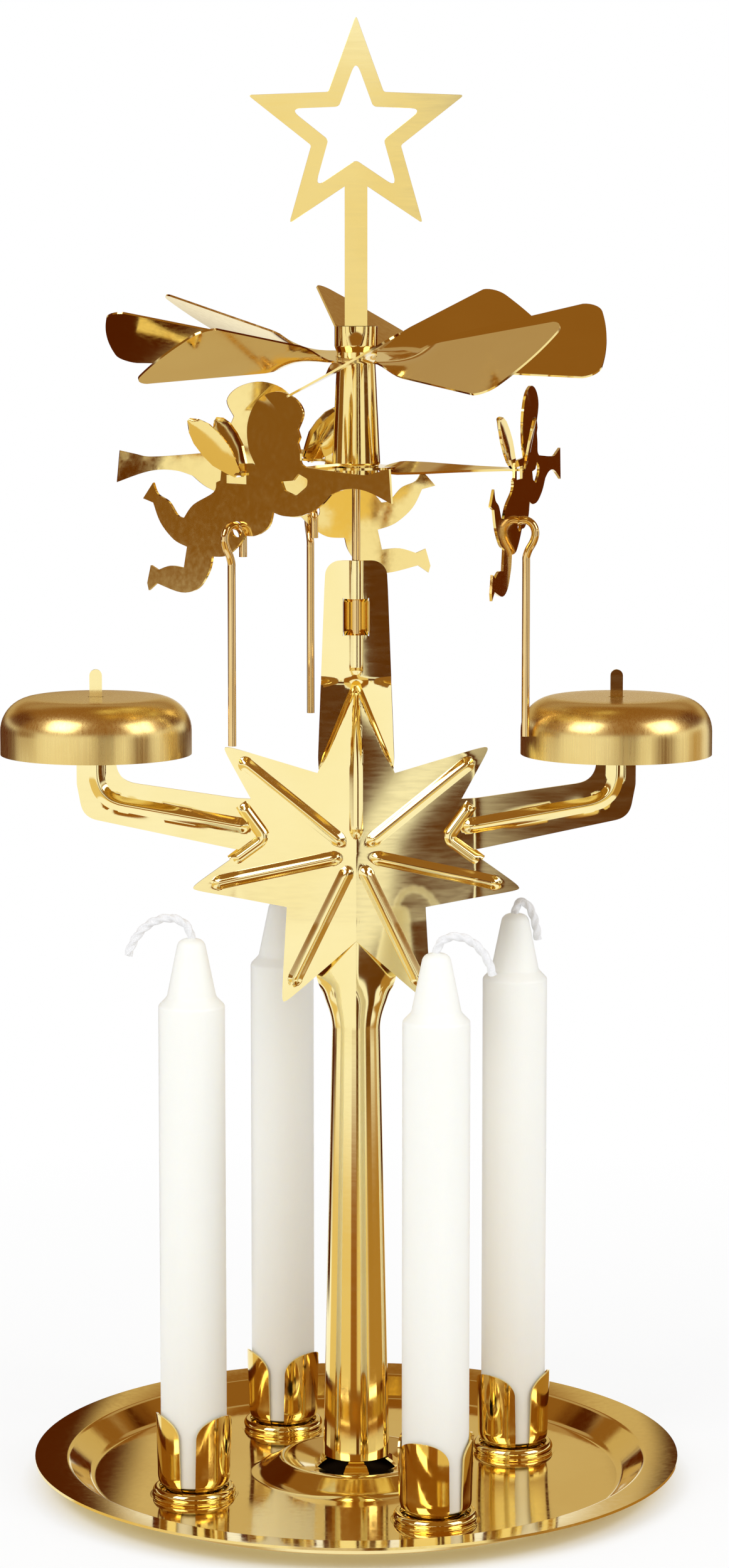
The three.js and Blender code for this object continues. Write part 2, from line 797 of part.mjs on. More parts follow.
function makeHub() {
  const neckLow = fanPlane - thinSheet / 2 - seatGap - 0.8;
  const neckHigh = fanPlane + thinSheet / 2 + seatGap + 0.6;
  const outside = [
    [spigotRadius, hubBottom],
    [spigotRadius, spigotTop],
    [hubFootRadius, spigotTop],
    [hubNeckRadius, neckLow],
    [hubNeckRadius, neckHigh],
    [hubTopRadius, neckHigh + 1],
    [hubTopRadius, hubTop],
  ];
  const inside = [
    [hubTopRadius - hubWall, hubTop],
    [hubTopRadius - hubWall, neckHigh + 1],
    [hubNeckRadius - hubWall, neckHigh],
    [hubNeckRadius - hubWall, neckLow],
    [spigotRadius - hubWall, spigotTop],
    [spigotRadius - hubWall, hubBottom],
    [spigotRadius, hubBottom],
  ];
  const lugs = [-1, 1].map((side) => box(1.4, 1.2, 0.6, side * (hubFootRadius + 0.4), 0, spigotTop + 0.6));
  return toGeometry(joined([turned([...outside, ...inside], 24), ...lugs]));
}

addMesh('hub_tube', makeHub(), brass);

function makePivotCup() {
  const radius = hubNeckRadius - hubWall - seatGap;
  const top = pivotHeight + seatGap + pivotCupHeight - pivotCupDepth;
  const low = pivotHeight + seatGap - pivotCupDepth;
  return turned([
    [needleDiameter / 2 + 0.6, low],
    [radius, low],
    [radius, top - 0.6],
    [radius - 0.6, top],
    [0, top],
    [0, pivotHeight + seatGap],
    [needleDiameter / 2 + 0.6, low],
  ], 16);
}

addMesh('pivot_cup', makePivotCup(), brass);

// Fan: one disc cut into blades that are each twisted at the root. It sits askew in its groove,
// lower at the front.

function fanBlade(azimuth) {
  const corner = 3;
  const stations = [
    [fanDiscRadius - 1.5, bladeRootWidth / 2],
    [fanDiscRadius + 0.5, bladeRootWidth / 2 + 0.4],
    [fanDiscRadius + 3, 0],
    [bladeTwistEnd, 0],
    [bladeTipRadius - corner, bladeTipWidth / 2],
    [bladeTipRadius - corner * 0.35, bladeTipWidth / 2 - corner * 0.25],
    [bladeTipRadius, bladeTipWidth / 2 - corner],
  ];
  const [rootRadius, rootHalf] = stations[1];
  const widen = (radius) => rootHalf
    + (bladeTipWidth / 2 - rootHalf) * (radius - rootRadius) / (bladeTipRadius - corner - rootRadius);
  const rows = stations.map(([radius, given]) => {
    const half = given || widen(radius);
    const twist = THREE.MathUtils.smoothstep(radius, fanDiscRadius, bladeTwistEnd + 2);
    const pitch = bladePitch * twist * degrees;
    return [-1, -0.5, 0, 0.5, 1].map((share) => {
      const across = share * half;
      const out = Math.sqrt(radius * radius - across * across);
      const rise = (radius - fanDiscRadius) * bladeDish;
      return new THREE.Vector3(out, across * Math.cos(pitch), across * Math.sin(pitch) + rise);
    });
  });
  return sheetBody(rows, thinSheet).rotateZ(azimuth * degrees);
}

function makeFan() {
  const hole = hubNeckRadius + seatGap;
  const disc = turned([
    [hole, -thinSheet / 2],
    [fanDiscRadius, -thinSheet / 2],
    [fanDiscRadius, thinSheet / 2],
    [hole, thinSheet / 2],
    [hole, -thinSheet / 2],
  ], 24);
  const pieces = [disc];
  for (let i = 0; i < bladeCount; i += 1) {
    pieces.push(fanBlade(fanAzimuth + i * 360 / bladeCount));
  }
  return toGeometry(joined(pieces)).rotateX(fanLean * degrees);
}

addMesh('fan', makeFan(), brass).position.z = fanPlane;

// Carrier: three arms whose ends pass through the figures and spread into pairs of wings

function carrierArm() {
  const end = figureRadius + sheetThickness / 2 + seatGap + 0.7;
  const plate = figureRadius - sheetThickness / 2 - seatGap;
  const stations = [
    [carrierDiscRadius - 2.5, carrierRootWidth, carrierTwist],
    [carrierDiscRadius + 6, carrierRootWidth * 0.75, carrierTwist],
    [plate - 8, carrierArmWidth, carrierTwist * 0.5],
    [plate - 1, carrierArmWidth, 0],
    [end, carrierArmWidth, 0],
  ];
  const rows = stations.map(([radius, width, twist]) => {
    const half = width / 2;
    const angle = twist * degrees;
    return [-half, 0, half].map((across) => new THREE.Vector3(
      radius, across * Math.cos(angle), across * Math.sin(angle)));
  });
  return sheetBody(rows, sheetThickness);
}

// A leaf that leans back and out. Side is 1 outside the figure and -1 inside it.
function wing(side, flare) {
  const foot = figureRadius + side * (sheetThickness / 2 + seatGap + 0.35);
  const lean = wingLean * degrees;
  const stations = [[0, 0.3], [0.12, 0.55], [0.35, 0.95], [0.6, 1], [0.85, 0.7], [0.96, 0.4], [1, 0.15]];
  const rows = stations.map(([share, wide]) => {
    const along = share * wingLength;
    const half = wide * wingWidth / 2;
    return [-1, 0, 1].map((across) => new THREE.Vector3(
      foot + side * flare * share,
      carrierArmWidth * 0.25 - along * Math.sin(lean) + across * half * Math.cos(lean),
      along * Math.cos(lean) + across * half * Math.sin(lean)));
  });
  return sheetBody(rows, thinSheet);
}

function makeCarrier() {
  const hole = spigotRadius + seatGap;
  const disc = turned([
    [hole, -sheetThickness / 2],
    [carrierDiscRadius, -sheetThickness / 2],
    [carrierDiscRadius, sheetThickness / 2],
    [hole, sheetThickness / 2],
    [hole, -sheetThickness / 2],
  ], 24);
  const armParts = [carrierArm(), wing(1, outerWingFlare), wing(-1, innerWingFlare)];
  const pieces = [disc];
  for (let i = 0; i < figureCount; i += 1) {
    const turn = (figureAzimuth + i * 360 / figureCount) * degrees;
    for (const part of armParts) {
      pieces.push(part.clone().rotateZ(turn));
    }
  }
  return toGeometry(joined(pieces));
}

addMesh('figure_carrier', makeCarrier(), brass).position.z = carrierPlane;

// Figures: flat cherubs with trumpets. The outline's zero is where the arm passes through.

function figureOutline() {
  const shape = new THREE.Shape();
  const through = (points) => shape.splineThru(points.map(([x, z]) => new THREE.Vector2(x, z)));
  shape.moveTo(5, 1.8);
  through([[3.2, 5], [3, 9.5], [5.5, 13.6], [10.2, 15.4], [15, 14.4], [17.4, 11.8], [16, 8.6]]);
  shape.lineTo(16.6, 7.2);
  shape.lineTo(16, 6.2);
  through([[16.6, 4.4], [16.8, 2.6], [18.2, 1.8]]);
  shape.lineTo(27, 1.2);
  through([[33, 1], [36, 1.6], [39, 2.3]]);
  shape.lineTo(39.6, -3.9);
  through([[34.6, -2.2], [31, -1.6], [27.4, -1.9], [24.4, -2.9]]);
  through([[21.5, -5.2], [17, -7], [12.5, -7.3], [9.5, -6.7]]);
  through([[8.4, -9.4], [5.2, -11.2], [2.3, -11.4]]);
  through([[0, -13.6], [-3, -15.4], [-6.6, -15.7]]);
  through([[-7.5, -18.5], [-10.4, -21.8], [-15, -22.9], [-21.8, -21.5]]);
  shape.lineTo(-24, -23);
  shape.lineTo(-24.4, -21.6);
  shape.lineTo(-23.4, -18.2);
  shape.lineTo(-21.4, -19);
  through([[-18, -18], [-14.3, -18.2]]);
  shape.lineTo(-13.4, -14.2);
  through([[-17, -13], [-20.6, -10], [-22.6, -6.3]]);
  shape.lineTo(-25.4, -5.6);
  shape.lineTo(-22.6, -2.5);
  through([[-21.4, -4.6], [-18.4, -5.9], [-16, -8.4], [-14.2, -8.8]]);
  through([[-11.6, -6.2], [-6.2, -3.7], [-5.4, -1.8]]);
  shape.lineTo(0, -0.4);
  shape.closePath();
  return shape;
}

function chestOpening() {
  const hole = new THREE.Shape();
  hole.moveTo(11.8, -1);
  hole.lineTo(14.8, -0.7);
  hole.lineTo(16.2, 0.6);
  hole.lineTo(18.6, -0.3);
  hole.lineTo(18.4, -1.6);
  hole.quadraticCurveTo(15.5, -4.4, 12.6, -2.4);
  hole.closePath();
  return hole;
}

function makeFigure() {
  const shape = figureOutline();
  const slotTop = sheetThickness / 2 + seatGap;
  const slotHalf = carrierArmWidth / 2 + seatGap;
  const slot = new THREE.Path();
  slot.moveTo(-slotHalf, slotTop);
  slot.lineTo(-slotHalf, slotTop - slotDrop);
  slot.lineTo(slotHalf, slotTop - slotDrop);
  slot.lineTo(slotHalf, slotTop);
  const bridge = new THREE.Shape();
  bridge.moveTo(-slotHalf - 1.6, -2);
  bridge.lineTo(slotHalf + 2.6, -2);
  bridge.lineTo(slotHalf + 2.6, slotTop + 1.3);
  bridge.lineTo(slotHalf, slotTop + 1.5);
  bridge.lineTo(-slotHalf - 1, slotTop + 1);
  bridge.closePath();
  const plate = joined([upright(shape, sheetThickness, 2), upright(bridge, sheetThickness)]);
  const slotCut = upright(new THREE.Shape(slot.getPoints()), 4 * sheetThickness);
  const hole = new THREE.CylinderGeometry(hangerHoleRadius, hangerHoleRadius, 4 * sheetThickness, 12);
  hole.translate(0, 0, -hangerDrop);
  const chest = upright(chestOpening(), 4 * sheetThickness, 3);
  const cut = plate.subtract(toSolid(slotCut)).subtract(toSolid(hole)).subtract(toSolid(chest));
  return toGeometry(cut).rotateZ(Math.PI / 2);
}

// Strikers: straight rods with a hook through the figure

function makeStriker() {
  const radius = hookRadius;
  const bottom = -strikerLength;
  const out = strikerStandOff;
  const straightTop = -radius * 3.4;
  const rod = wire(new THREE.LineCurve3(
    new THREE.Vector3(out, 0, bottom),
    new THREE.Vector3(out, 0, straightTop + 0.3),
  ), strikerDiameter, 8, 1);
  const hookPoints = [
    [out, straightTop - 0.4],
    [out, straightTop],
    [out + radius * 0.35, -radius * 2.3],
    [out + radius * 1.05, -radius * 1.2],
    [out + radius * 1.05, -radius * 0.1],
    [out + radius * 0.5, radius * 0.5],
    [out - radius * 0.3, radius * 0.55],
    [0, 0],
    [-0.9, -0.7],
    [-1.3, -1.8],
    [-1.4, -hookLegLength],
  ];
  const curve = new THREE.CatmullRomCurve3(hookPoints.map(([x, z]) => new THREE.Vector3(x, 0, z)));
  return toGeometry(toSolid(rod).add(toSolid(wire(curve, strikerDiameter, 8, 18))));
}

const figureGeometry = makeFigure();
const strikerGeometry = makeStriker();
for (let i = 0; i < figureCount; i += 1) {
  const place = new THREE.Group();
  place.rotation.z = (figureAzimuth + i * 360 / figureCount) * degrees;
  chime.add(place);
  const figure = addMesh(`figure_${i + 1}`, figureGeometry, brass, place);
  figure.position.set(figureRadius, 0, carrierPlane);
  const striker = addMesh(`striker_${i + 1}`, strikerGeometry, brass, place);
  striker.position.set(figureRadius, 0, hangerHeight);
}

// Ornament: a five-pointed star with a star cut out, on a strip held by the hub's mouth

function fiveStar(path, outer, inner, centre, round) {
  const corner = (step, radius) => {
    const angle = step * Math.PI / 5;
    return new THREE.Vector2(radius * Math.sin(angle), centre + radius * Math.cos(angle));
  };
  for (let step = 0; step < 10; step += 1) {
    if (step % 2 === 1) {
      const notch = corner(step, inner);
      path.lineTo(notch.x, notch.y);
    } else {
      const tip = corner(step, outer);
      const before = tip.clone().lerp(corner(step + 9, inner), round);
      const after = tip.clone().lerp(corner(step + 1, inner), round);
      if (step === 0) {
        path.moveTo(before.x, before.y);
      } else {
        path.lineTo(before.x, before.y);
      }
      path.quadraticCurveTo(tip.x, tip.y, after.x, after.y);
    }
  }
  path.closePath();
}

function makeTopStar() {
  const stripLow = pivotHeight + seatGap + pivotCupHeight - pivotCupDepth + seatGap;
  const centre = stripLow + topStripLength + topStarInner;
  const star = new THREE.Shape();
  fiveStar(star, topStarRadius, topStarInner, centre, 0.05);
  const cut = new THREE.Shape();
  fiveStar(cut, topCutRadius, topCutInner, centre, 0.25);
  const strip = new THREE.Shape();
  strip.moveTo(-topStripWidth / 2, stripLow);
  strip.lineTo(topStripWidth / 2, stripLow);
  strip.lineTo(topStripWidth / 2, centre - topStarInner + 1.5);
  strip.lineTo(-topStripWidth / 2, centre - topStarInner + 1.5);
  strip.closePath();
  const plate = joined([upright(star, sheetThickness, 3), upright(strip, sheetThickness)]);
  return toGeometry(plate.subtract(toSolid(upright(cut, 4 * sheetThickness, 3))));
}

addMesh('top_star', makeTopStar(), brass);

export default chime;
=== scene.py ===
from math import asin, cos, hypot, pi, radians, sin, sqrt, tan
import bmesh
import bpy
from mathutils import Matrix, Vector


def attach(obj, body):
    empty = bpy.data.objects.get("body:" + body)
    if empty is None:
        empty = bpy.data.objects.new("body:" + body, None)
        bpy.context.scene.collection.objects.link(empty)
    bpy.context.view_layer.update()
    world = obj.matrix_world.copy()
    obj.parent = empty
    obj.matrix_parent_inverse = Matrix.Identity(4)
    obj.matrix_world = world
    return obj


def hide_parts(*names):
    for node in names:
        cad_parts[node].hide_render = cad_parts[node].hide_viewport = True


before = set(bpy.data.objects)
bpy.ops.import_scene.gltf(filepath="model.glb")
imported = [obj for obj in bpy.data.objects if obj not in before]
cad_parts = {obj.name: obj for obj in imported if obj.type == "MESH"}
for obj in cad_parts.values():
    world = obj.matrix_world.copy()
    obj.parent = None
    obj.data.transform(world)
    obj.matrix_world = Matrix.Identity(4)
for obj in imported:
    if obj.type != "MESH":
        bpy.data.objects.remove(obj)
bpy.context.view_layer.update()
print("frame loaded")

mm = 0.001


# small helpers, all in millimetres until a mesh is made

def polar(radius, azimuth, height=0.0):
    angle = radians(azimuth)
    return Vector((radius * cos(angle), radius * sin(angle), height))


def lerp(a, b, share):
    return a + (b - a) * share


def ease(value, low=0.0, high=1.0):
    share = min(max((value - low) / (high - low), 0.0), 1.0)
    return share * share * (3 - 2 * share)


def stations(table, value):
    # straight between the given (position, size) pairs
    for (a, first), (b, second) in zip(table, table[1:]):
        if value <= b:
            return lerp(first, second, max(0.0, (value - a) / (b - a)))
    return table[-1][1]


def spline(points, steps):
    # a smooth line through the points, ends included
    points = [Vector(point) for point in points]
    line = []
    for i in range(len(points) - 1):
        before = points[max(i - 1, 0)]
        a, b = points[i], points[i + 1]
        after = points[min(i + 2, len(points) - 1)]
        for step in range(steps):
            t = step / steps
            pull = (b - before) * 0.5
            push = (after - a) * 0.5
            line.append(a * (2 * t ** 3 - 3 * t ** 2 + 1) + pull * (t ** 3 - 2 * t ** 2 + t)
                        + b * (3 * t ** 2 - 2 * t ** 3) + push * (t ** 3 - t ** 2))
    line.append(points[-1])
    return line


def softCorner(start, middle, end, steps):
    # a curve from start to end that leans towards the middle
    return [start * (1 - t) ** 2 + middle * (2 * t * (1 - t)) + end * t * t
            for t in [i / steps for i in range(steps + 1)]]


def filleted(points, radius, steps=5):
    # rounds the inner corners of an open line, each by its third number where it has one
    line = [Vector(points[0][:2])]
    for before, corner, after in zip(points, points[1:], points[2:]):
        size = corner[2] if len(corner) > 2 else radius
        middle = Vector(corner[:2])
        a = Vector(before[:2]) - middle
        b = Vector(after[:2]) - middle
        cut = min(size / tan(max(a.angle(b), 0.05) / 2), a.length * 0.45, b.length * 0.45)
        if cut < 0.01:
            line.append(middle)
        else:
            line += softCorner(middle + a.normalized() * cut, middle, middle + b.normalized() * cut, steps)
    line.append(Vector(points[-1][:2]))
    return line


def cornerCut(past, radius):
    # how far a round corner draws an edge in, at a distance past the corner's start
    return radius - sqrt(max(0, radius ** 2 - past ** 2))


def meshOf(name, points, faces):
    mesh = bpy.data.meshes.new(name)
    mesh.from_pydata([tuple(Vector(point) * mm) for point in points], [], faces)
    mesh.update()
    return mesh


def gridMesh(name, rows):
    wide = len(rows[0])
    faces = [(k, k + 1, k + wide + 1, k + wide) for i in range(len(rows) - 1)
             for k in range(i * wide, (i + 1) * wide - 1)]
    return meshOf(name, [point for row in rows for point in row], faces)


def latheMesh(name, profile, segments=96, centre=(0, 0, 0), shape=None):
    points, faces, rings = [], [], []
    for radius, height in profile:
        rings.append([])
        for i in range(1 if radius < 1e-6 else segments):
            angle = 2 * pi * i / segments
            r = shape(radius, angle, height) if shape else radius
            rings[-1].append(len(points))
            points.append((centre[0] + r * cos(angle), centre[1] + r * sin(angle), centre[2] + height))
    for low, high in zip(rings, rings[1:]):
        for i in range(segments):
            k = (i + 1) % segments
            face = [ring[j % len(ring)] for ring, j in ((low, i), (low, k), (high, k), (high, i))]
            if len(set(face)) > 2:
                faces.append(tuple(dict.fromkeys(face)))
    return meshOf(name, points, faces)


def meshFrom(name, shell):
    mesh = bpy.data.meshes.new(name)
    shell.to_mesh(mesh)
    shell.free()
    return mesh


def joinMeshes(name, meshes, weld=False):
    whole = bmesh.new()
    for mesh in meshes:
        whole.from_mesh(mesh)
    if weld:
        bmesh.ops.remove_doubles(whole, verts=whole.verts, dist=2e-6)
        bmesh.ops.dissolve_degenerate(whole, edges=whole.edges, dist=2e-6)
        bmesh.ops.recalc_face_normals(whole, faces=whole.faces)
    return meshFrom(name, whole)


def withoutFaces(name, shell, isGone):
    # isGone is asked about the middle of each face, in millimetres
    gone = [face for face in shell.faces if isGone(face.calc_center_median() / mm)]
    bmesh.ops.delete(shell, geom=gone, context="FACES")
    return meshFrom(name, shell)


def outlineMesh(name, outline, holes=(), place=None):
    # a flat sheet in X and Z, filled between its outline and its holes
    sheet = bmesh.new()
    for loop in (outline, *holes):
        corners = [sheet.verts.new((x * mm, 0, z * mm)) for x, z in loop]
        for a, b in zip(corners, corners[1:] + corners[:1]):
            sheet.edges.new((a, b))
    bmesh.ops.triangle_fill(sheet, use_beauty=True, use_dissolve=False, edges=sheet.edges)
    if place:
        for corner in sheet.verts:
            corner.co = place(corner.co / mm) * mm
    return meshFrom(name, sheet)


def toObject(name, data):
    piece = bpy.data.objects.new(name, data)
    bpy.context.scene.collection.objects.link(piece)
    return piece


def settle(piece, sharp=35):
    # turns the evaluated piece into a plain mesh with smooth faces and sharp folds
    graph = bpy.context.evaluated_depsgraph_get()
    mesh = bpy.data.meshes.new_from_object(piece.evaluated_get(graph), depsgraph=graph)
    name = piece.name
    mesh.name = name
    bpy.data.objects.remove(piece)
    for face in mesh.polygons:
        face.use_smooth = True
    mesh.set_sharp_from_angle(angle=radians(sharp))
    return toObject(name, mesh)


def finishPiece(name, mesh, material, body, node, wall=0.0, bevel=0.0, sharp=35):
    piece = toObject(name, mesh)
    if wall:
        solid = piece.modifiers.new("wall", "SOLIDIFY")
        solid.thickness = wall * mm
        solid.offset = 0
        solid.use_even_offset = True
    if bevel:
        edge = piece.modifiers.new("edge", "BEVEL")
        edge.width = bevel * mm
        edge.segments = 2
        edge.limit_method = "ANGLE"
        edge.angle_limit = radians(50)
    return adopt(settle(piece, sharp), material, body, node)


def adopt(piece, material, body, node):
    piece.data.materials.clear()
    piece.data.materials.append(material)
    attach(piece, body)
    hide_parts(node)
    return piece


# nodes, in geometry and in materials

def fillInputs(tree, node, inputs):
    # an input is given by its name or place, and its value is a socket to join or a plain value
    for key, value in inputs.items():
        if isinstance(value, bpy.types.NodeSocket):
            tree.links.new(value, node.inputs[key])
        else:
            node.inputs[key].default_value = value


def addNode(tree, kind, inputs, **settings):
    node = tree.nodes.new(kind)
    for label, value in settings.items():
        setattr(node, label, value)
    fillInputs(tree, node, inputs)
    return node.outputs


def addMath(tree, operation, *values):
    return addNode(tree, "ShaderNodeMath", dict(enumerate(values)), operation=operation)[0]


# node trees that repeat a piece round an axis and draw a wire along a curve

def newTree(name, inputs):
    tree = bpy.data.node_groups.new(name, "GeometryNodeTree")
    for label, kind in {"Geometry": "Geometry", **inputs, "Material": "Material"}.items():
        tree.interface.new_socket(label, in_out="INPUT", socket_type=f"NodeSocket{kind}")
    tree.interface.new_socket("Geometry", in_out="OUTPUT", socket_type="NodeSocketGeometry")
    return tree, tree.nodes.new("NodeGroupInput").outputs


def endTree(tree, start, socket):
    real = addNode(tree, "GeometryNodeRealizeInstances", {0: socket})[0]
    dressed = addNode(tree, "GeometryNodeSetMaterial", {"Geometry": real, "Material": start["Material"]})
    addNode(tree, "NodeGroupOutput", {0: dressed[0]})
    return tree


def makeRingTree():
    tree, start = newTree("ringOfCopies", {"Count": "Int", "First turn": "Float", "Centre": "Vector"})
    spots = addNode(tree, "GeometryNodeMeshLine", {
        "Count": start["Count"], "Start Location": start["Centre"], "Offset": (0, 0, 0)})
    index = addNode(tree, "GeometryNodeInputIndex", {})
    step = addMath(tree, "DIVIDE", 2 * pi, start["Count"])
    turn = addMath(tree, "MULTIPLY_ADD", index[0], step, start["First turn"])
    angles = addNode(tree, "ShaderNodeCombineXYZ", {"Z": turn})
    copies = addNode(tree, "GeometryNodeInstanceOnPoints", {
        "Points": spots[0], "Instance": start["Geometry"], "Rotation": angles[0]})
    return endTree(tree, start, copies[0])


def makeWireTree():
    tree, start = newTree("wireAlongCurve", {
        "Radius": "Float", "Lobes": "Int", "Lobe depth": "Float", "Twist": "Float", "Steps": "Int"})
    share = addNode(tree, "GeometryNodeSplineParameter", {})["Factor"]
    even = addNode(tree, "GeometryNodeResampleCurve", {
        "Curve": start["Geometry"], "Count": start["Steps"]})
    twist = addMath(tree, "MULTIPLY", share, start["Twist"])
    path = addNode(tree, "GeometryNodeSetCurveTilt", {"Curve": even[0], "Tilt": twist})
    circle = addNode(tree, "GeometryNodeCurvePrimitiveCircle", {
        "Resolution": 24, "Radius": start["Radius"]})
    # the lobes are waves round the wire's section
    wave = addMath(tree, "MULTIPLY", addMath(tree, "MULTIPLY", share, start["Lobes"]), 2 * pi)
    swell = addMath(tree, "MULTIPLY", addMath(tree, "COSINE", wave), start["Lobe depth"])
    spot = addNode(tree, "GeometryNodeInputPosition", {})
    moved = addNode(tree, "ShaderNodeVectorMath", {
        0: spot[0], "Scale": addMath(tree, "ADD", swell, 1)}, operation="SCALE")
    section = addNode(tree, "GeometryNodeSetPosition", {"Geometry": circle[0], "Position": moved[0]})
    wire = addNode(tree, "GeometryNodeCurveToMesh", {
        "Curve": path[0], "Profile Curve": section[0], "Fill Caps": True})
    return endTree(tree, start, wire[0])


def runTree(name, data, tree, values, sharp=35):
    piece = toObject(name, data)
    modifier = piece.modifiers.new("nodes", "NODES")
    modifier.node_group = tree
    for item in tree.interface.items_tree:
        if item.item_type == "SOCKET" and item.in_out == "INPUT" and item.name in values:
            modifier[item.identifier] = values[item.name]
    piece.update_tag()
    bpy.context.view_layer.update()
    return settle(piece, sharp)


def ringOf(mesh, material, count, firstTurn, centre=(0, 0, 0)):
    # copies of a mesh round an upright axis, as one mesh
    piece = runTree("ring", mesh, ringTree, {
        "Count": count, "First turn": radians(firstTurn), "Centre": tuple(Vector(centre) * mm),
        "Material": material})
    whole = piece.data
    bpy.data.objects.remove(piece)
    return whole


def curveData(name, points):
    data = bpy.data.curves.new(name, "CURVE")
    data.dimensions = "3D"
    line = data.splines.new("POLY")
    line.points.add(len(points) - 1)
    for spot, point in zip(line.points, points):
        spot.co = (*(Vector(point) * mm), 1)
    return data


ringTree = makeRingTree()
wireTree = makeWireTree()
print("node trees built")


# camera, fitted to the rims of the tray and the bells

cameraShot = {"distance": 788.8, "height": 239.1, "side": 1.6, "pitch": 7.39, "lens": 94.8}

cameraData = bpy.data.cameras.new("camera")
cameraData.sensor_width = 36
cameraData.lens = cameraShot["lens"]
cameraData.clip_end = 20
camera = toObject("camera", cameraData)
camera.location = Vector((cameraShot["side"], -cameraShot["distance"], cameraShot["height"])) * mm
camera.rotation_euler = (radians(90 - cameraShot["pitch"]), 0, 0)
bpy.context.scene.camera = camera
bpy.context.scene.view_settings.view_transform = "Standard"


# materials

def newMaterial(name):
    material = bpy.data.materials.new(name)
    material.use_nodes = True
    return material, material.node_tree


def addNoise(tree, stretch, detail=4.0):
    spot = addNode(tree, "ShaderNodeTexCoord", {})["Object"]
    moved = addNode(tree, "ShaderNodeMapping", {"Vector": spot, "Scale": stretch})
    return addNode(tree, "ShaderNodeTexNoise", {"Vector": moved[0], "Scale": 1, "Detail": detail})["Fac"]


def addRamp(tree, value, low, high, first, second):
    return addNode(tree, "ShaderNodeMapRange", {
        "Value": value, "From Min": low, "From Max": high, "To Min": first, "To Max": second})["Result"]


def addTint(tree, value, first, second):
    return addNode(tree, "ShaderNodeMix", {
        "Factor": value, "A": (*first, 1), "B": (*second, 1)}, data_type="RGBA")["Result"]


def addBump(tree, value, strength):
    return addNode(tree, "ShaderNodeBump", {"Height": value, "Strength": strength, "Distance": mm})[0]


def setSurface(tree, inputs):
    fillInputs(tree, tree.nodes["Principled BSDF"], inputs)


noiseSpan = {"cloud": (0.35, 0.65), "grain": (0.3, 0.7)}  # the part of the noise that is used


def brassMaterial(name, look):
    material, tree = newMaterial(name)
    cloud = addRamp(tree, addNoise(tree, look["cloud"]), *noiseSpan["cloud"], 0, 1)
    grain = addNoise(tree, look["grain"], 6)
    setSurface(tree, {"Metallic": 1, "Base Color": addTint(tree, cloud, look["pale"], look["deep"]),
                      "Roughness": addRamp(tree, grain, *noiseSpan["grain"], *look["gloss"]),
                      "Normal": addBump(tree, grain, look["bump"])})
    return material


# pale and deep are the two ends of the colour, cloud and grain the patterns' counts in a metre
brassLooks = {
    "sheetBrass": {"pale": (1.0, 0.87, 0.45), "deep": (0.97, 0.82, 0.38), "cloud": (40, 40, 40),
                   "grain": (160, 1500, 1500), "gloss": (0.06, 0.1), "bump": 0.0012},
    "spunBrass": {"pale": (0.95, 0.77, 0.32), "deep": (0.9, 0.7, 0.26), "cloud": (30, 30, 30),
                  "grain": (900, 900, 900), "gloss": (0.05, 0.12), "bump": 0.003},
    "brushedBrass": {"pale": (0.92, 0.74, 0.31), "deep": (0.86, 0.66, 0.25), "cloud": (60, 60, 60),
                     "grain": (2600, 2600, 60), "gloss": (0.24, 0.32), "bump": 0.006},
    "wireBrass": {"pale": (0.86, 0.64, 0.3), "deep": (0.8, 0.56, 0.23), "cloud": (80, 80, 80),
                  "grain": (1200, 1200, 200), "gloss": (0.04, 0.08), "bump": 0.003}}
sheetBrass, spunBrass, brushedBrass, wireBrass = [
    brassMaterial(name, look) for name, look in brassLooks.items()]


def softMaterial(name, look):
    material, tree = newMaterial(name)
    tint = addTint(tree, addNoise(tree, look["cloud"]), look["pale"], look["deep"])
    bump = addBump(tree, addNoise(tree, look["grain"]), look["bump"])
    setSurface(tree, {"Base Color": tint, "Normal": bump, **look["surface"]})
    return material


softLooks = {
    "candleWax": {"pale": (0.94, 0.95, 0.905), "deep": (0.92, 0.925, 0.87), "cloud": (50, 50, 25),
                  "grain": (700, 700, 300), "bump": 0.05,
                  "surface": {"Roughness": 0.42, "Subsurface Weight": 0.2, "Subsurface Scale": 1,
                              "Subsurface Radius": (0.004, 0.0035, 0.0025)}},
    "wickCotton": {"pale": (0.93, 0.93, 0.93), "deep": (0.8, 0.8, 0.82), "cloud": (4000, 4000, 4000),
                   "grain": (4000, 4000, 4000), "bump": 0.3, "surface": {"Roughness": 0.95}}}
candleWax, wickCotton = [softMaterial(name, look) for name, look in softLooks.items()]
print("materials built")


# tray

tray = {"radius": 63.0, "height": 5.0, "rimWidth": 6.5, "rimSlope": 0.6, "wallRun": 4.5,
        "bossFoot": 18.0, "bossCrest": 14.6, "bossHeight": 3.8, "dishRadius": 8.2,
        "dishHeight": 2.2, "sheet": 0.5, "tongues": 4, "tongueWidth": 5.2, "tongueSlope": 0.8,
        "tongueRise": 3.0, "tongueShape": ((0, 0.75), (0.25, 1), (0.5, 0.8), (0.75, 0.5), (1, 0.22))}
candle = {"circle": 34.7, "azimuth": 25.6, "count": 4, "radius": 6.35, "length": 106.3,
          "noseLength": 12.0, "noseRadius": 4.4, "tipRadius": 2.0, "foot": 3.1}
cup = {"fit": 0.25, "sheet": 0.4, "floor": 0.8, "petals": 3, "height": 16.2, "slot": 2.9,
       "turns": (105, 200, 202, 4), "flange": 7.3, "base": 2.5, "round": 2.2, "flare": 0.3}
stem = {"footRadius": 6.5, "topRadius": 4.65, "foot": 4.26, "top": 89.26, "seam": 0.5,
        "neck": 17.4, "neckHalf": 8.0, "sheet": 0.5}


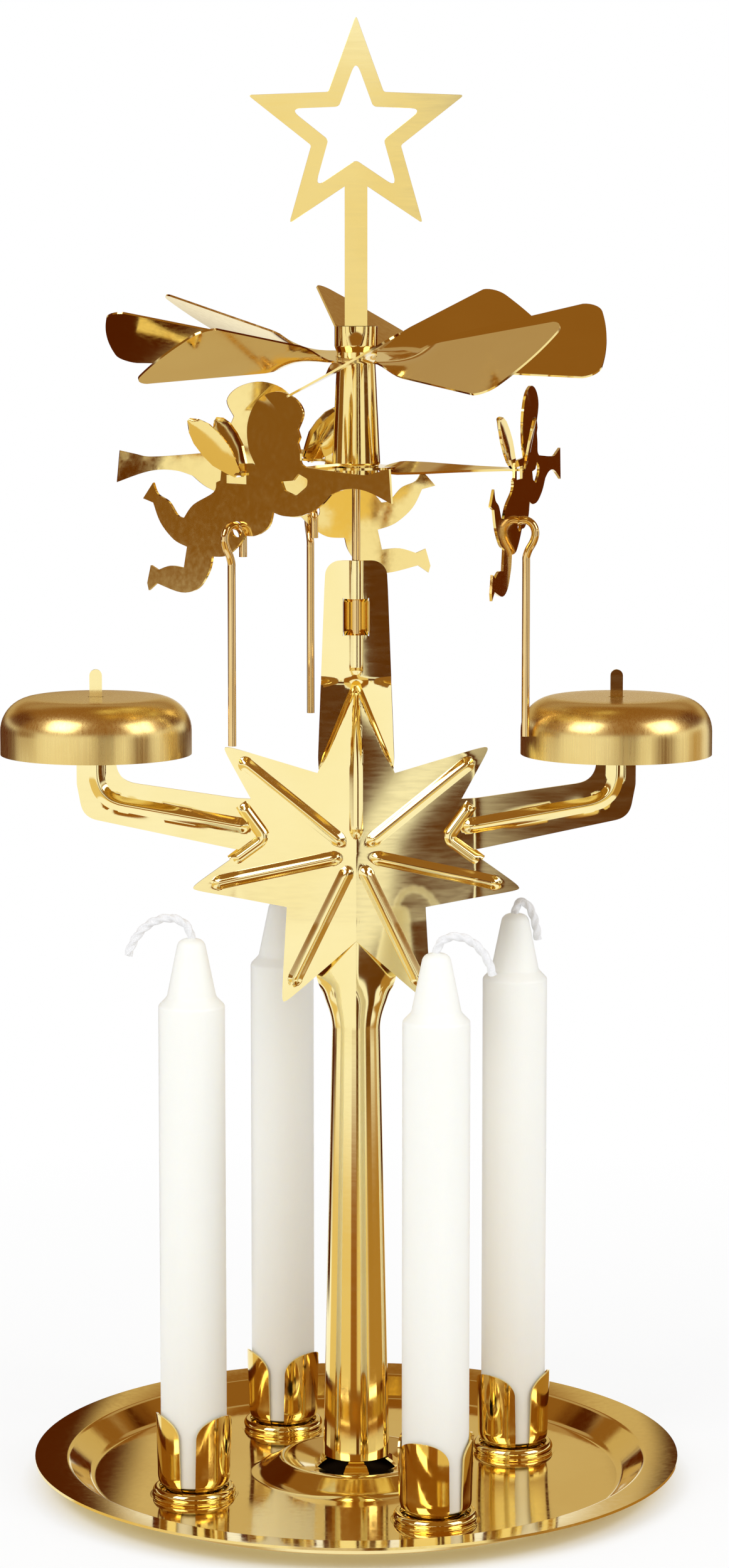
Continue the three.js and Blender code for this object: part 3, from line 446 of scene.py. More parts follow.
def candleSpot(i, height=0.0):
    return polar(candle["circle"], candle["azimuth"] + i * 360 / candle["count"], height)


def trayPlate():
    half = tray["sheet"] / 2
    wallTop = tray["radius"] - tray["rimWidth"]
    line = [(tray["radius"], tray["height"] - half),
            (wallTop, tray["height"] - tray["rimSlope"] - half, 1.2),
            (wallTop - tray["wallRun"], half, 2.4), (tray["bossFoot"] + 1, half, 5),
            (tray["bossCrest"], tray["bossHeight"] + 0.1 - half, 1.8),
            (tray["dishRadius"], tray["dishHeight"] - half)]
    return latheMesh("plate", filleted(line, 1, 8), 160)


def trayTongues():
    # cut from the middle and bent up inside the stem's foot
    edge, inside = tray["dishRadius"], stem["footRadius"] - stem["sheet"] - 0.5
    foot = tray["dishHeight"] - tray["sheet"] / 2
    turn = foot + tray["tongueSlope"] * (edge - inside)
    line = spline([(edge + 1, foot), (edge, foot), ((edge + inside) / 2, (foot + turn) / 2),
                   (inside, turn), (inside - 0.1, turn + tray["tongueRise"])], 5)
    rows = []
    for i, spot in enumerate(line):
        half = stations(tray["tongueShape"], i / (len(line) - 1)) * tray["tongueWidth"] / 2
        rows.append([(spot[0], half * share, spot[1]) for share in (-1, -0.5, 0, 0.5, 1)])
    return ringOf(gridMesh("tongue", rows), spunBrass, tray["tongues"], -90)


def traySeat(i):
    # a round bead raised from the floor and pressed in over the flange of the cup
    edge = cup["flange"]
    line = spline([(edge + 1.2, 0.28), (edge + 0.35, 0.4), (edge + 0.3, 0.9), (edge + 0.45, 1.4),
                   (edge + 0.1, 2), (edge - 0.5, 2)], 6)
    return latheMesh("collar", line, 72, candleSpot(i))


trayParts = [trayPlate(), trayTongues()] + [traySeat(i) for i in range(candle["count"])]
finishPiece("trayPlate", joinMeshes("tray", trayParts), spunBrass, "frame", "tray",
            wall=tray["sheet"])
print("tray made")


# candle cups

def makeCup(i):
    spot = candleSpot(i)
    middle = candle["radius"] + cup["fit"] + cup["sheet"] / 2
    low, top = cup["base"], cup["floor"] + cup["height"]
    base = pi / cup["petals"] - asin(cup["slot"] / 2 / middle)
    roundStart = top - middle * sin(base) * 0.8
    wallStart = low + cup["round"]
    spots = [(wallStart - (wallStart - low) * cos(radians(15 * k)),
              -1.2 * (1 - sin(radians(15 * k))), 1) for k in range(6)]
    spots += [(lerp(wallStart, roundStart, k / 10), 0, 1 - 0.03 * k / 10) for k in range(10)]
    spots += [(lerp(roundStart, top, sin(angle)), 0, 0.97 * cos(angle) ** 0.9)
              for angle in [radians(90 * k / 14.4) for k in range(15)]]
    rows = []
    for height, inset, share in spots:
        radius = middle + inset + cup["flare"] * ease(height, wallStart, top)
        rows.append([(radius * cos(base * share * s), radius * sin(base * share * s), height)
                     for s in [j / 8 - 1 for j in range(17)]])
    petals = ringOf(gridMesh("petal", rows), spunBrass, cup["petals"], cup["turns"][i], spot)
    under = cup["floor"] + cup["sheet"] / 2
    flange = latheMesh("flange", [(cup["flange"] - 0.3, under), (middle - 1.5, under),
                                  (middle - 1.2, low), (0, low)], 48, spot)
    finishPiece(f"cup{i + 1}", joinMeshes("cup", [petals, flange]), spunBrass, "frame",
                f"candle_cup_{i + 1}", wall=cup["sheet"])


def makeCandle(i):
    shoulder = candle["length"] - candle["noseLength"]
    line = [(0, 0), (candle["radius"], 0, 0.4), (candle["radius"], shoulder - 1.1, 1.0),
            (candle["noseRadius"] + 0.3, shoulder + 0.6, 1.6),
            (candle["tipRadius"] + 0.5, candle["length"] - 0.6, 2.2), (0, candle["length"])]
    mesh = latheMesh("candle", filleted(line, 0.5, 8), 96, candleSpot(i, candle["foot"]))
    finishPiece(f"candle{i + 1}", mesh, candleWax, f"candle_{i + 1}", f"candle_{i + 1}")


# a shape is its reach, rise and drop and the way it leans; the twist is in radians a millimetre
wick = {"radius": 0.75, "lobes": 3, "lobeDepth": 0.16, "twist": 0.9,
        "shapes": ((4.5, 4, 5, 0), (5, 4, 1, -20), (12, 6, 3, 180), (10.5, 5, 4, 0))}


def makeWick(i):
    reach, rise, drop, towards = wick["shapes"][i]
    spot = candleSpot(i, candle["foot"] + candle["length"] - 0.5)
    up, over, end = Vector((0, 0, rise)), Vector((reach * 0.8, 0, rise)), Vector((reach, 0, -drop))
    points = []
    for t in [k / 32 for k in range(33)]:
        local = up * (3 * t * (1 - t) ** 2) + over * (3 * t * t * (1 - t)) + end * t ** 3
        points.append(spot + polar(local.x, towards, local.z))
    length = sum((b - a).length for a, b in zip(points, points[1:]))
    piece = runTree(f"wick{i + 1}", curveData("wick", points), wireTree, {
        "Radius": wick["radius"] * mm, "Lobes": wick["lobes"], "Lobe depth": wick["lobeDepth"],
        "Twist": length * wick["twist"], "Steps": 80, "Material": wickCotton}, 80)
    adopt(piece, wickCotton, f"candle_{i + 1}", f"wick_{i + 1}")


for number in range(candle["count"]):
    makeCup(number)
    makeCandle(number)
    makeWick(number)
print("cups, candles and wicks made")


# stem, star, arms and bracket

star = {"points": 7, "centre": 123.76, "tip": 33.5, "inner": 17.1, "tipRound": 0.5, "standOff": 0.4,
        "ribStart": 4.4, "ribEnd": 27.2, "topRibEnd": 30.6, "ribHalf": 1.35, "ribHeight": 0.9,
        "foldReach": 23.0}
bracket = {"foot": 139.17, "top": 179.97, "corner": 2.8, "window": (165.47, 172.77), "end": 156.8,
           "channel": 1.35, "strap": 2.35, "strapBack": 1.4, "bead": ((0.4, 156.2), (6.5, 142.3)),
           "beadHalf": 0.75, "beadHeight": 0.55,
           "low": 136.0, "middle": 156.0,
           "halves": ((136, 6.5), (140, 7.2), (142.2, 7.3), (174.4, 6.05), (180, 5.75))}
arm = {"width": 7.6, "rootHeight": 10.0, "rise": 13.0, "reach": 50.0, "tab": 2.4, "tabHeight": 6.2,
       "top": 152.8, "ribHalf": 1.5, "ribHeight": 0.9, "start": 12.0, "ribStart": 21.8, "ribEnd": 148.0,
       "frame": ((22.2, 132.9), (17.4, 126.4), (23.9, 121.5)), "frameHalf": 1.4, "frameHeight": 0.75}
ridge = ((89.26, 4.4), (100, 3.4), (110, 2.9), (126, 2.75), (139.17, 2.1), (156.27, 0.9), (200, 0.9))
ribStations = (0, 0.12, 0.28, 0.48, 0.7, 0.88, 1, 1.15)


def foldAt(x, z):
    # the front of the sheet: a ridge down its middle that falls away to both sides
    upper = ease(z, bracket["foot"], bracket["foot"] + star["inner"])
    reach = lerp(star["foldReach"], stations(bracket["halves"], z), upper)
    share = hypot(x, lerp(0, 0.3, ease(z, star["centre"] - 4, star["centre"] + 4))) / reach
    slope = 1 - share * (0.8 + 0.2 * share)
    return -stations(ridge, z) * (slope + hypot(slope, 0.02)) / 2


def beadAt(x, z, line, half, height):
    # a raised bead with two facets, a soft ridge and round ends
    near = 1
    for a, b in zip(line, line[1:]):
        run = (b[0] - a[0], b[1] - a[1])
        share = ((x - a[0]) * run[0] + (z - a[1]) * run[1]) / (run[0] ** 2 + run[1] ** 2)
        share = min(max(share, 0), 1)
        near = min(near, hypot(x - a[0] - run[0] * share, z - a[1] - run[1] * share) / half)
    return height * max(0, 1 - hypot(near, 0.25)) / 0.75


def starCorner(step, radius):
    angle = step * pi / star["points"]
    return (radius * sin(angle), star["centre"] + radius * cos(angle))


def starDepth(x, z):
    depth = foldAt(x, z) - star["standOff"]
    for step in range(0, 2 * star["points"], 2):
        end = star["topRibEnd"] if step == 0 else star["ribEnd"]
        half = star["ribHalf"] * (1 if step else lerp(0.25, 0.9, ease(bracket["end"] - z, 0, 20)))
        depth -= beadAt(x, z, (starCorner(step, star["ribStart"]), starCorner(step, end)), half,
                        star["ribHeight"])
    return depth - beadAt(abs(x), z, bracket["bead"], bracket["beadHalf"], bracket["beadHeight"])


def pressed(name, rows, depthAt):
    return gridMesh(name, [[(spot[0], depthAt(spot[0], spot[1]), spot[1]) for spot in row]
                           for row in rows])


def starPoint(step, side):
    # half a point of the star, in rows from its rib to the notch beside it
    angle, turn = step * pi / star["points"], pi / star["points"]
    along = Vector((sin(angle), cos(angle)))
    across = Vector((cos(angle), -sin(angle))) * side
    notch = (star["inner"] * cos(turn), star["inner"] * sin(turn))
    middle = Vector((0, star["centre"]))
    distances = [share * star["ribHalf"] for share in ribStations]
    distances += [lerp(distances[-1], notch[1], k / 16) for k in range(1, 17)]
    rows = []
    for far in distances:
        low = far / tan(turn)
        high = lerp(star["tip"], notch[0], hypot(far, star["tipRound"]) / notch[1])
        shares = [lerp(k / 60, ease(k / 60), 0.4) for k in range(61)]
        rows.append([middle + along * lerp(low, max(high, low), share) + across * far
                     for share in shares])
    return pressed("point", rows, starDepth)


def bracketDepth(x, z):
    end, strap = bracket["end"], bracket["strap"]
    low, high = bracket["window"]
    belt = -0.15 - 1.1 * abs(x) / stations(bracket["halves"], z)
    plate = lerp(belt, foldAt(x, z), ease(z, end - 1, end + 0.8))
    if z < end or abs(x) > strap:
        return plate
    tube = bracket["channel"] * (0.2 + 0.8 * ease(z, end, end + 2.6))
    front = -sqrt(max(0, tube ** 2 - x ** 2)) - 0.1
    back = bracket["strapBack"] * sqrt(max(0, 1 - (x / strap) ** 2))
    inside = ease(z, low, low + 0.7) * (1 - ease(z, high - 0.7, high))
    return lerp(min(plate, front) if abs(x) < tube else plate, back, inside)


def bracketSheet():
    middle, top, corner, strap = [bracket[key] for key in ("middle", "top", "corner", "strap")]
    low, high = bracket["window"]
    heights = []
    for a, b, count in ((bracket["low"], middle, 20), (middle, low, 24), (low, high, 20),
                        (high, top - corner, 8)):
        heights += [lerp(a, b, k / count) for k in range(count)]
    heights += [top - corner + corner * sin(radians(90 * k / 8)) for k in range(9)]
    rows = []
    for z in heights:
        half = stations(bracket["halves"], z) - cornerCut(max(0, z - top + corner), corner)
        side = [sin(radians(15 * k)) * bracket["channel"] for k in range(1, 7)]
        side += [1.5, 1.9, 2.25, strap, strap + 0.15]
        side += [lerp(side[-1], half, k / 6) for k in range(1, 7)]
        rows.append([(-x, z) for x in reversed(side)] + [(0, z)] + [(x, z) for x in side])
    sheet = bmesh.new()
    sheet.from_mesh(pressed("bracket", rows, bracketDepth))
    # the strap is free along both its sides
    return withoutFaces("bracket", sheet, lambda spot: (
        strap - 0.1 < abs(spot.x) < strap + 0.15 and low < spot.z < high))


def resampled(line, count):
    # evenly spaced spots along a line
    line = [Vector(spot) for spot in line]
    lengths = [0]
    for a, b in zip(line, line[1:]):
        lengths.append(lengths[-1] + (b - a).length)
    spots = []
    for i in range(count):
        want, k = lengths[-1] * i / (count - 1), 1
        while lengths[k] < want - 1e-9 and k < len(line) - 1:
            k += 1
        share = (want - lengths[k - 1]) / max(lengths[k] - lengths[k - 1], 1e-9)
        spots.append(line[k - 1].lerp(line[k], min(max(share, 0), 1)))
    return spots


def armSheet():
    root, fold, reach, top = arm["start"], star["foldReach"], arm["reach"], arm["top"]
    low, bend = star["centre"] + 0.3, star["centre"] + arm["rise"]
    high = low + arm["rootHeight"]
    inner, outer = reach - arm["width"] / 2, reach + arm["width"] / 2
    lines = (filleted([(root, low), (fold, low, 8), (outer - 1.2, bend - arm["width"] + 1.2, 4),
                       (outer, bend, 4), (outer, top)], 2, 8),
             filleted([(root, low + 4.2), (fold, low + 4.8, 8),
                       (reach, bend - arm["width"] / 2 + 0.8, 6.5), (reach, top)], 2, 12),
             filleted([(root, high - 0.4), (fold, high, 8), (inner, bend + 0.7, 4.5), (inner, top)], 2, 8))
    lower, middle, upper = [resampled(line, 100) for line in lines]
    rib = [spot for spot in middle if spot.x > arm["ribStart"] and spot.y < arm["ribEnd"]]
    rows = []
    for down, spot, up in zip(lower, middle, upper):
        sides = []
        for edge in (down, up):
            away = (edge - spot).normalized()
            near = [spot + away * share * arm["ribHalf"] for share in ribStations[1:]]
            sides.append(near + [near[-1].lerp(edge, k / 5) for k in range(1, 6)])
        rows.append(sides[0][::-1] + [spot] + sides[1])
    return pressed("arm", rows, lambda x, z: foldAt(x, z) - beadAt(
        x, z, rib, arm["ribHalf"], arm["ribHeight"]))


def chevronSheet():
    # the raised frame round the star's notch, at the root of the arm
    path = resampled(filleted(arm["frame"], 1.6, 8), 60)
    rows = []
    for k, spot in enumerate(path):
        along = (path[min(k + 1, 59)] - path[max(k - 1, 0)]).normalized()
        swell = ease(min(k, 59 - k), 0, 6)
        row = []
        for share in [j / 6 for j in range(-6, 7)]:
            x = spot.x - along.y * share * arm["frameHalf"]
            z = spot.y + along.x * share * arm["frameHalf"]
            bead = arm["frameHeight"] * swell * (1 - share * share) ** 2
            row.append((x, foldAt(x, z) - 0.2 - bead + 0.5 * share ** 4, z))
        rows.append(row)
    return gridMesh("chevron", rows)


def tabSheet():
    half, low = arm["tab"] / 2, arm["top"] - 0.4
    high = arm["top"] + arm["tabHeight"] - half
    arc = [(arm["reach"] + half * cos(pi * k / 12), high + half * sin(pi * k / 12))
           for k in range(13)]
    return outlineMesh("tab", [(arm["reach"] - half, low), (arm["reach"] + half, low)] + arc)


def stemSheet():
    shares = [k / 36 - 1 for k in range(73)]
    wall = stem["sheet"] / 2
    rows = []
    for share in [k / 21 for k in range(22)]:
        radius = lerp(stem["footRadius"], stem["topRadius"], share) - wall
        half = pi - stem["seam"] / 2 / radius
        rows.append([(radius * sin(half * across), -radius * cos(half * across),
                      lerp(stem["foot"], stem["top"], share)) for across in shares])
    # above the tube the sheet opens out and folds to a ridge under the star
    for share in [k / 30 for k in range(1, 31)]:
        height = stem["top"] + share * (stem["neck"] + 1.5)
        half = lerp(pi - 0.06, pi * (1 - share) ** 2 + 0.35, ease(share, 0, 0.12))
        spread = lerp(stem["topRadius"], stem["neckHalf"], ease(share, 0, 0.62)) - wall
        radius = spread / sin(min(half, pi / 2))
        front = lerp(ridge[0][1], stations(ridge, height), ease(share, 0, 0.2))
        fold = ease(share, 0.25, 0.62)
        rows.append([(lerp(radius * sin(half * across), spread * across, fold),
                      lerp(radius * (1 - cos(half * across)) - front,
                           -(front + 0.3) * (1 - hypot(across, 0.01)), fold), height)
                     for across in shares])
    return gridMesh("stem", rows)


def mirroredMesh(mesh):
    copy = mesh.copy()
    for corner in copy.vertices:
        corner.co.x = -corner.co.x
    copy.flip_normals()
    return copy


rightArm = joinMeshes("rightArm", [armSheet(), chevronSheet(), tabSheet()])
points = [starPoint(step, side) for step in range(0, 2 * star["points"], 2) for side in (1, -1)]
pressing = joinMeshes("pressing", [stemSheet(), rightArm, mirroredMesh(rightArm), bracketSheet(),
                                   joinMeshes("star", points, weld=True)])
stemAndStar = finishPiece("stemAndStar", pressing, sheetBrass, "frame", "stem_and_star",
                          wall=stem["sheet"], sharp=28)
# the fold below the star's middle is a sharp one
corners = stemAndStar.data.vertices
for edge in stemAndStar.data.edges:
    if all(abs(corners[k].co.x) < 1e-6 and corners[k].co.z < star["centre"] * mm for k in edge.vertices):
        edge.use_edge_sharp = True

needle = {"radius": 0.8, "foot": 157.26, "point": 215.56, "taper": 5.0, "tip": 0.12}
needleLine = [(0, needle["foot"]), (needle["radius"], needle["foot"], 0.2),
              (needle["radius"], needle["point"] - needle["taper"], 2),
              (needle["tip"], needle["point"] - 0.1), (0, needle["point"])]
finishPiece("needle", latheMesh("needle", filleted(needleLine, 0.1), 32), wireBrass, "frame", "needle")
print("stem, star and needle made")


# bells

bell = {"radius": 18.4, "height": 11.0, "rim": 142.7, "shoulder": 6.5, "wall": 0.6, "reach": 50.0,
        "slotLength": 3.0, "slotWidth": 1.1}


def makeBell(name, side):
    half, length, width = bell["wall"] / 2, bell["slotLength"] / 2, bell["slotWidth"] / 2
    turn, top = bell["height"] - bell["shoulder"], bell["height"] - half
    flat, arc = bell["radius"] - bell["shoulder"], bell["shoulder"] - half
    line = [(bell["radius"] - half, 0), (bell["radius"] - half, turn)]
    for angle in [radians(90 * k / 12) for k in range(1, 13)]:
        line.append((flat + arc * cos(angle), turn + arc * sin(angle)))
    line += [(8, top), (3, top), (0, top)]
    middle = side * bell["reach"]
    shell = bmesh.new()
    shell.from_mesh(latheMesh("bell", line, 144, (middle, 0, bell["rim"])))
    for place, normal in ((middle - length, (1, 0, 0)), (middle + length, (1, 0, 0)),
                          (-width, (0, 1, 0)), (width, (0, 1, 0))):
        bmesh.ops.bisect_plane(shell, geom=shell.verts[:] + shell.edges[:] + shell.faces[:],
                               plane_co=Vector(normal) * place * mm, plane_no=normal, dist=1e-7)
    crown = bell["rim"] + bell["height"] - 2
    mesh = withoutFaces(name, shell, lambda spot: (
        abs(spot.x - middle) < length and abs(spot.y) < width and spot.z > crown))
    finishPiece(f"{name}Shell", mesh, brushedBrass, name, name, wall=bell["wall"])


makeBell("bell_left", -1)
makeBell("bell_right", 1)
print("bells made")


# hub tube and pivot cup

hub = {"bottom": 196.26, "spigotTop": 198.26, "top": 224.46, "foot": 4.6, "neck": 3.7, "mouth": 4.1,
       "spigot": 4.2, "wall": 0.4, "fan": 218.56, "dent": 0.7}
pivot = {"radius": 3.0, "bottom": 213.76, "top": 218.76, "hollow": 1.4, "seat": 215.86}


def hubShape(radius, angle, height):
    # the mouth is pinched at the front and the back to hold the strip
    pinch = ease(height, hub["top"] - 3.2, hub["top"] - 1.4)
    return radius - hub["dent"] * pinch * max(0, -cos(angle * 2)) ** 3


def makeHub():
    half, level, top = hub["wall"] / 2, hub["fan"], hub["top"]
    spigot, foot, neck, mouth = [hub[key] - half for key in ("spigot", "foot", "neck", "mouth")]
    line = [(spigot, hub["bottom"]), (spigot, hub["spigotTop"] - 0.1, 0.1),
            (foot, hub["spigotTop"] + half, 0.3), (neck, level - 1.3, 1.5), (neck, level + 1.1, 0.6),
            (mouth, level + 2.1, 1), (mouth, top - 2), (mouth, top - 1), (mouth, top)]
    tube = latheMesh("hub", filleted(line, 0.2, 6), 96, shape=hubShape)
    finishPiece("hubTube", tube, spunBrass, "rotor", "hub_tube", wall=hub["wall"])


def makePivot():
    line = [(pivot["hollow"], pivot["bottom"]), (pivot["radius"], pivot["bottom"], 0.2),
            (pivot["radius"], pivot["top"], 0.6), (0, pivot["top"]), (0, pivot["seat"]),
            (pivot["hollow"], pivot["bottom"])]
    finishPiece("pivotCup", latheMesh("pivot", filleted(line, 0.1), 48), spunBrass, "rotor", "pivot_cup")


makeHub()
makePivot()
print("hub and pivot made")


# fan

fan = {"blades": 8, "azimuth": -3.0, "height": 218.57, "disc": 9.0, "tip": 47.5, "tipWidth": 23.5,
       "rootWidth": 6.2, "pitch": 29.5, "twistEnd": 17.0, "dish": 0.097, "sheet": 0.4, "corner": 3.0,
       "hole": 4.0, "lean": 5.0}


def bladeRows():
    rows = []
    disc, reach = fan["disc"], fan["tip"] - fan["corner"]
    radii = [lerp(disc - 1.5, reach, k / 22) for k in range(23)]
    radii += [reach + fan["corner"] * sin(radians(90 * k / 7)) for k in range(1, 8)]
    for radius in radii:
        grow = max(0, radius - disc - 0.5) / (reach - disc - 0.5)
        half = lerp(fan["rootWidth"] / 2 + 0.4, fan["tipWidth"] / 2, min(1, grow))
        half -= cornerCut(max(0, radius - reach), fan["corner"])
        pitch = radians(fan["pitch"]) * ease(radius, disc, fan["twistEnd"] + 2)
        level = max(0, radius - disc) * fan["dish"] + fan["height"]
        rows.append([(sqrt(radius ** 2 - across ** 2), across * cos(pitch),
                      across * sin(pitch) + level)
                     for across in [half * (j / 8 - 1) for j in range(17)]])
    return rows


def flatRing(look):
    return latheMesh("disc", [(look["hole"], look["height"]), (look["disc"], look["height"])])


def makeFan():
    blades = ringOf(gridMesh("blade", bladeRows()), spunBrass, fan["blades"], fan["azimuth"])
    mesh = joinMeshes("fan", [blades, flatRing(fan)])
    middle = Matrix.Translation((0, 0, fan["height"] * mm))
    mesh.transform(middle @ Matrix.Rotation(radians(fan["lean"]), 4, "X") @ middle.inverted())
    finishPiece("fanWheel", mesh, spunBrass, "rotor", "fan", wall=fan["sheet"])


makeFan()
print("fan made")


# carrier with its arms and wings

carrier = {"height": 197.71, "disc": 8.0, "hole": 4.5, "root": 8.5, "arm": 4.6, "twist": 14.0,
           "wingLength": 13.4, "wingWidth": 6.0, "wingLean": 43.0, "outerFlare": 3.6,
           "innerFlare": 1.1, "sheet": 0.45}
figure = {"count": 3, "azimuth": -14.0, "radius": 31.6, "sheet": 0.5, "hole": 1.5, "hanger": 10.3,
          "slotTop": 0.55, "slotDrop": 2.4, "edge": 0.07, "start": (5, 1.8)}


def carrierArmRows():
    end = figure["radius"] + 1.25
    plate = figure["radius"] - 0.55
    widths = ((carrier["disc"] - 2.5, carrier["root"]), (carrier["disc"] + 6, carrier["root"] * 0.75),
              (plate - 8, carrier["arm"]), (end, carrier["arm"]))
    twists = ((carrier["disc"] + 6, carrier["twist"]), (plate - 8, carrier["twist"] / 2), (plate - 1, 0))
    rows = []
    for radius in [lerp(carrier["disc"] - 2.5, end, k / 24) for k in range(25)]:
        half = stations(widths, radius) / 2
        angle = radians(stations(twists, radius)) * ease(radius, 4, 9)
        rows.append([(radius, half * s * cos(angle), half * s * sin(angle) + carrier["height"])
                     for s in (-1, -0.5, 0, 0.5, 1)])
    return rows


def wingRows(side, flare):
    foot = figure["radius"] + side * 0.9
    lean = radians(carrier["wingLean"])
    widths = ((0, 0.3), (0.12, 0.55), (0.35, 0.95), (0.55, 1), (0.75, 0.9), (0.9, 0.6), (1, 0.12))
    rows = []
    for share in [k / 20 for k in range(21)]:
        along = share * carrier["wingLength"]
        half = stations(widths, share) * carrier["wingWidth"] / 2
        bow = 0.35 * ease(share, 0, 0.3)
        rows.append([(foot + side * (flare * share + bow * (1 - s * s)),
                      carrier["arm"] * 0.25 - along * sin(lean) + s * half * cos(lean),
                      along * cos(lean) + s * half * sin(lean) + carrier["height"])
                     for s in [j / 4 - 1 for j in range(9)]])
    return rows


def makeCarrier():
    branch = joinMeshes("branch", [gridMesh("arm", carrierArmRows()),
                                   gridMesh("outer", wingRows(1, carrier["outerFlare"])),
                                   gridMesh("inner", wingRows(-1, carrier["innerFlare"]))])
    branches = ringOf(branch, spunBrass, figure["count"], figure["azimuth"])
    mesh = joinMeshes("carrier", [branches, flatRing(carrier)])
    finishPiece("figureCarrier", mesh, spunBrass, "rotor", "figure_carrier", wall=carrier["sheet"])


makeCarrier()
print("carrier made")


# figures, drawn about the point where the arm passes through

figureLines = (
    ("curve", ((3.2, 5), (3, 9.5), (5.5, 13.6), (10.2, 15.4), (15, 14.4), (17.4, 11.8), (16, 8.6))),
    ("line", ((16.6, 7.2), (16, 6.2))),
    ("curve", ((16.6, 4.4), (16.8, 2.6), (18.2, 1.8))),
    ("line", ((27, 1.2),)),
    ("curve", ((33, 1), (36, 1.6), (39, 2.3))),
    ("line", ((39.6, -3.9),)),
    ("curve", ((34.6, -2.2), (31, -1.6), (27.4, -1.9), (24.4, -2.9))),
    ("curve", ((21.5, -5.2), (17, -7), (12.5, -7.3), (9.5, -6.7))),
    ("curve", ((8.4, -9.4), (5.2, -11.2), (2.3, -11.4))),
    ("curve", ((0, -13.6), (-3, -15.4), (-6.6, -15.7))),
    ("curve", ((-7.5, -18.5), (-10.4, -21.8), (-15, -22.9), (-21.8, -21.5))),
    ("line", ((-24, -23), (-24.4, -21.6), (-23.4, -18.2), (-21.4, -19))),
    ("curve", ((-18, -18), (-14.3, -18.2))),
    ("line", ((-13.4, -14.2),)),
    ("curve", ((-17, -13), (-20.6, -10), (-22.6, -6.3))),
    ("line", ((-25.4, -5.6), (-22.6, -2.5))),
    ("curve", ((-21.4, -4.6), (-18.4, -5.9), (-16, -8.4), (-14.2, -8.8))),
    ("curve", ((-11.6, -6.2), (-6.2, -3.7), (-5.4, -1.8))),
    ("line", ((-4.3, -1.4), (-3.9, 1.4), (-2.6, 1.75), (3.8, 2.05), (4.4, 1.9))),
)
chestLine = ((11.8, -1), (14.8, -0.7), (16.2, 0.6, 0.3), (18.6, -0.3, 0.6), (18.4, -1.6, 1),
             (15.5, -3.5, 1.5), (12.6, -2.6, 0.8), (11.8, -1))


def drawnLine(start, parts):
    # each part goes on from the last point
    line = [Vector(start)]
    for kind, points in parts:
        line += spline([line[-1], *points], 5)[1:] if kind == "curve" else points
    return line


def makeFigure(i):
    azimuth = figure["azimuth"] + i * 360 / figure["count"]
    half, top = carrier["arm"] / 2 + 0.3, figure["slotTop"]
    low = top - figure["slotDrop"]
    slot = [(-half, top), (-half, low), (half, low), (half, top)]
    hole = [(figure["hole"] * cos(a), figure["hole"] * sin(a) - figure["hanger"])
            for a in [2 * pi * k / 24 for k in range(24)]]
    chest = filleted(chestLine, 0.4, 4)[:-1]

    def place(spot):
        return (polar(figure["radius"], azimuth) + polar(spot.x, azimuth + 90)
                + Vector((0, 0, spot.z + carrier["height"])))

    mesh = outlineMesh("figure", drawnLine(figure["start"], figureLines), (slot, hole, chest), place)
    finishPiece(f"figure{i + 1}", mesh, spunBrass, "rotor", f"figure_{i + 1}",
                wall=figure["sheet"], bevel=figure["edge"], sharp=20)


# strikers, wires with a hook through the figure

striker = {"radius": 0.75, "standOff": 1.6, "length": 40.4, "straight": 7.0,
           "hook": ((1.62, -6.2), (2.1, -4.8), (2.95, -3.3), (3.35, -1.7), (2.9, -0.2), (1.7, 0.7),
                    (0.3, 0.6), (-0.85, -0.1), (-1.35, -1.2), (-1.4, -2.6), (-1.4, -5.2))}


def makeStriker(i):
    azimuth = figure["azimuth"] + i * 360 / figure["count"]
    out, height = striker["standOff"], carrier["height"] - figure["hanger"]
    line = [Vector((out, -striker["length"])), Vector((out, -striker["length"] / 2))]
    line += spline([(out, -striker["straight"] - 1), (out, -striker["straight"]), *striker["hook"]], 8)
    points = [polar(figure["radius"] + x, azimuth, height + z) for x, z in line]
    piece = runTree(f"striker{i + 1}", curveData("striker", points), wireTree, {
        "Radius": striker["radius"] * mm, "Steps": 160, "Material": wireBrass}, 50)
    adopt(piece, wireBrass, f"striker_{i + 1}", f"striker_{i + 1}")


for number in range(figure["count"]):
    makeFigure(number)
    makeStriker(number)
print("figures and strikers made")


# ornament on top

topStar = {"outer": 21.5, "inner": 8.9, "cut": 13.2, "cutInner": 5.5, "strip": 4.3, "low": 219.07,
           "length": 33.2, "sheet": 0.5, "edge": 0.07, "rounding": (0.06, 0.03),
           "cutRounding": (0.25, 0.08)}


def fiveStar(outer, inner, centre, rounding):
    # its tips and notches are rounded by their own shares of the sides
    corners = [Vector((radius * sin(angle), centre + radius * cos(angle))) for radius, angle in [
        (inner if step % 2 else outer, step * pi / 5) for step in range(10)]]
    line = []
    for i, corner in enumerate(corners):
        share = rounding[i % 2]
        line += softCorner(corner.lerp(corners[i - 1], share), corner,
                           corner.lerp(corners[(i + 1) % 10], share), 6)
    return line


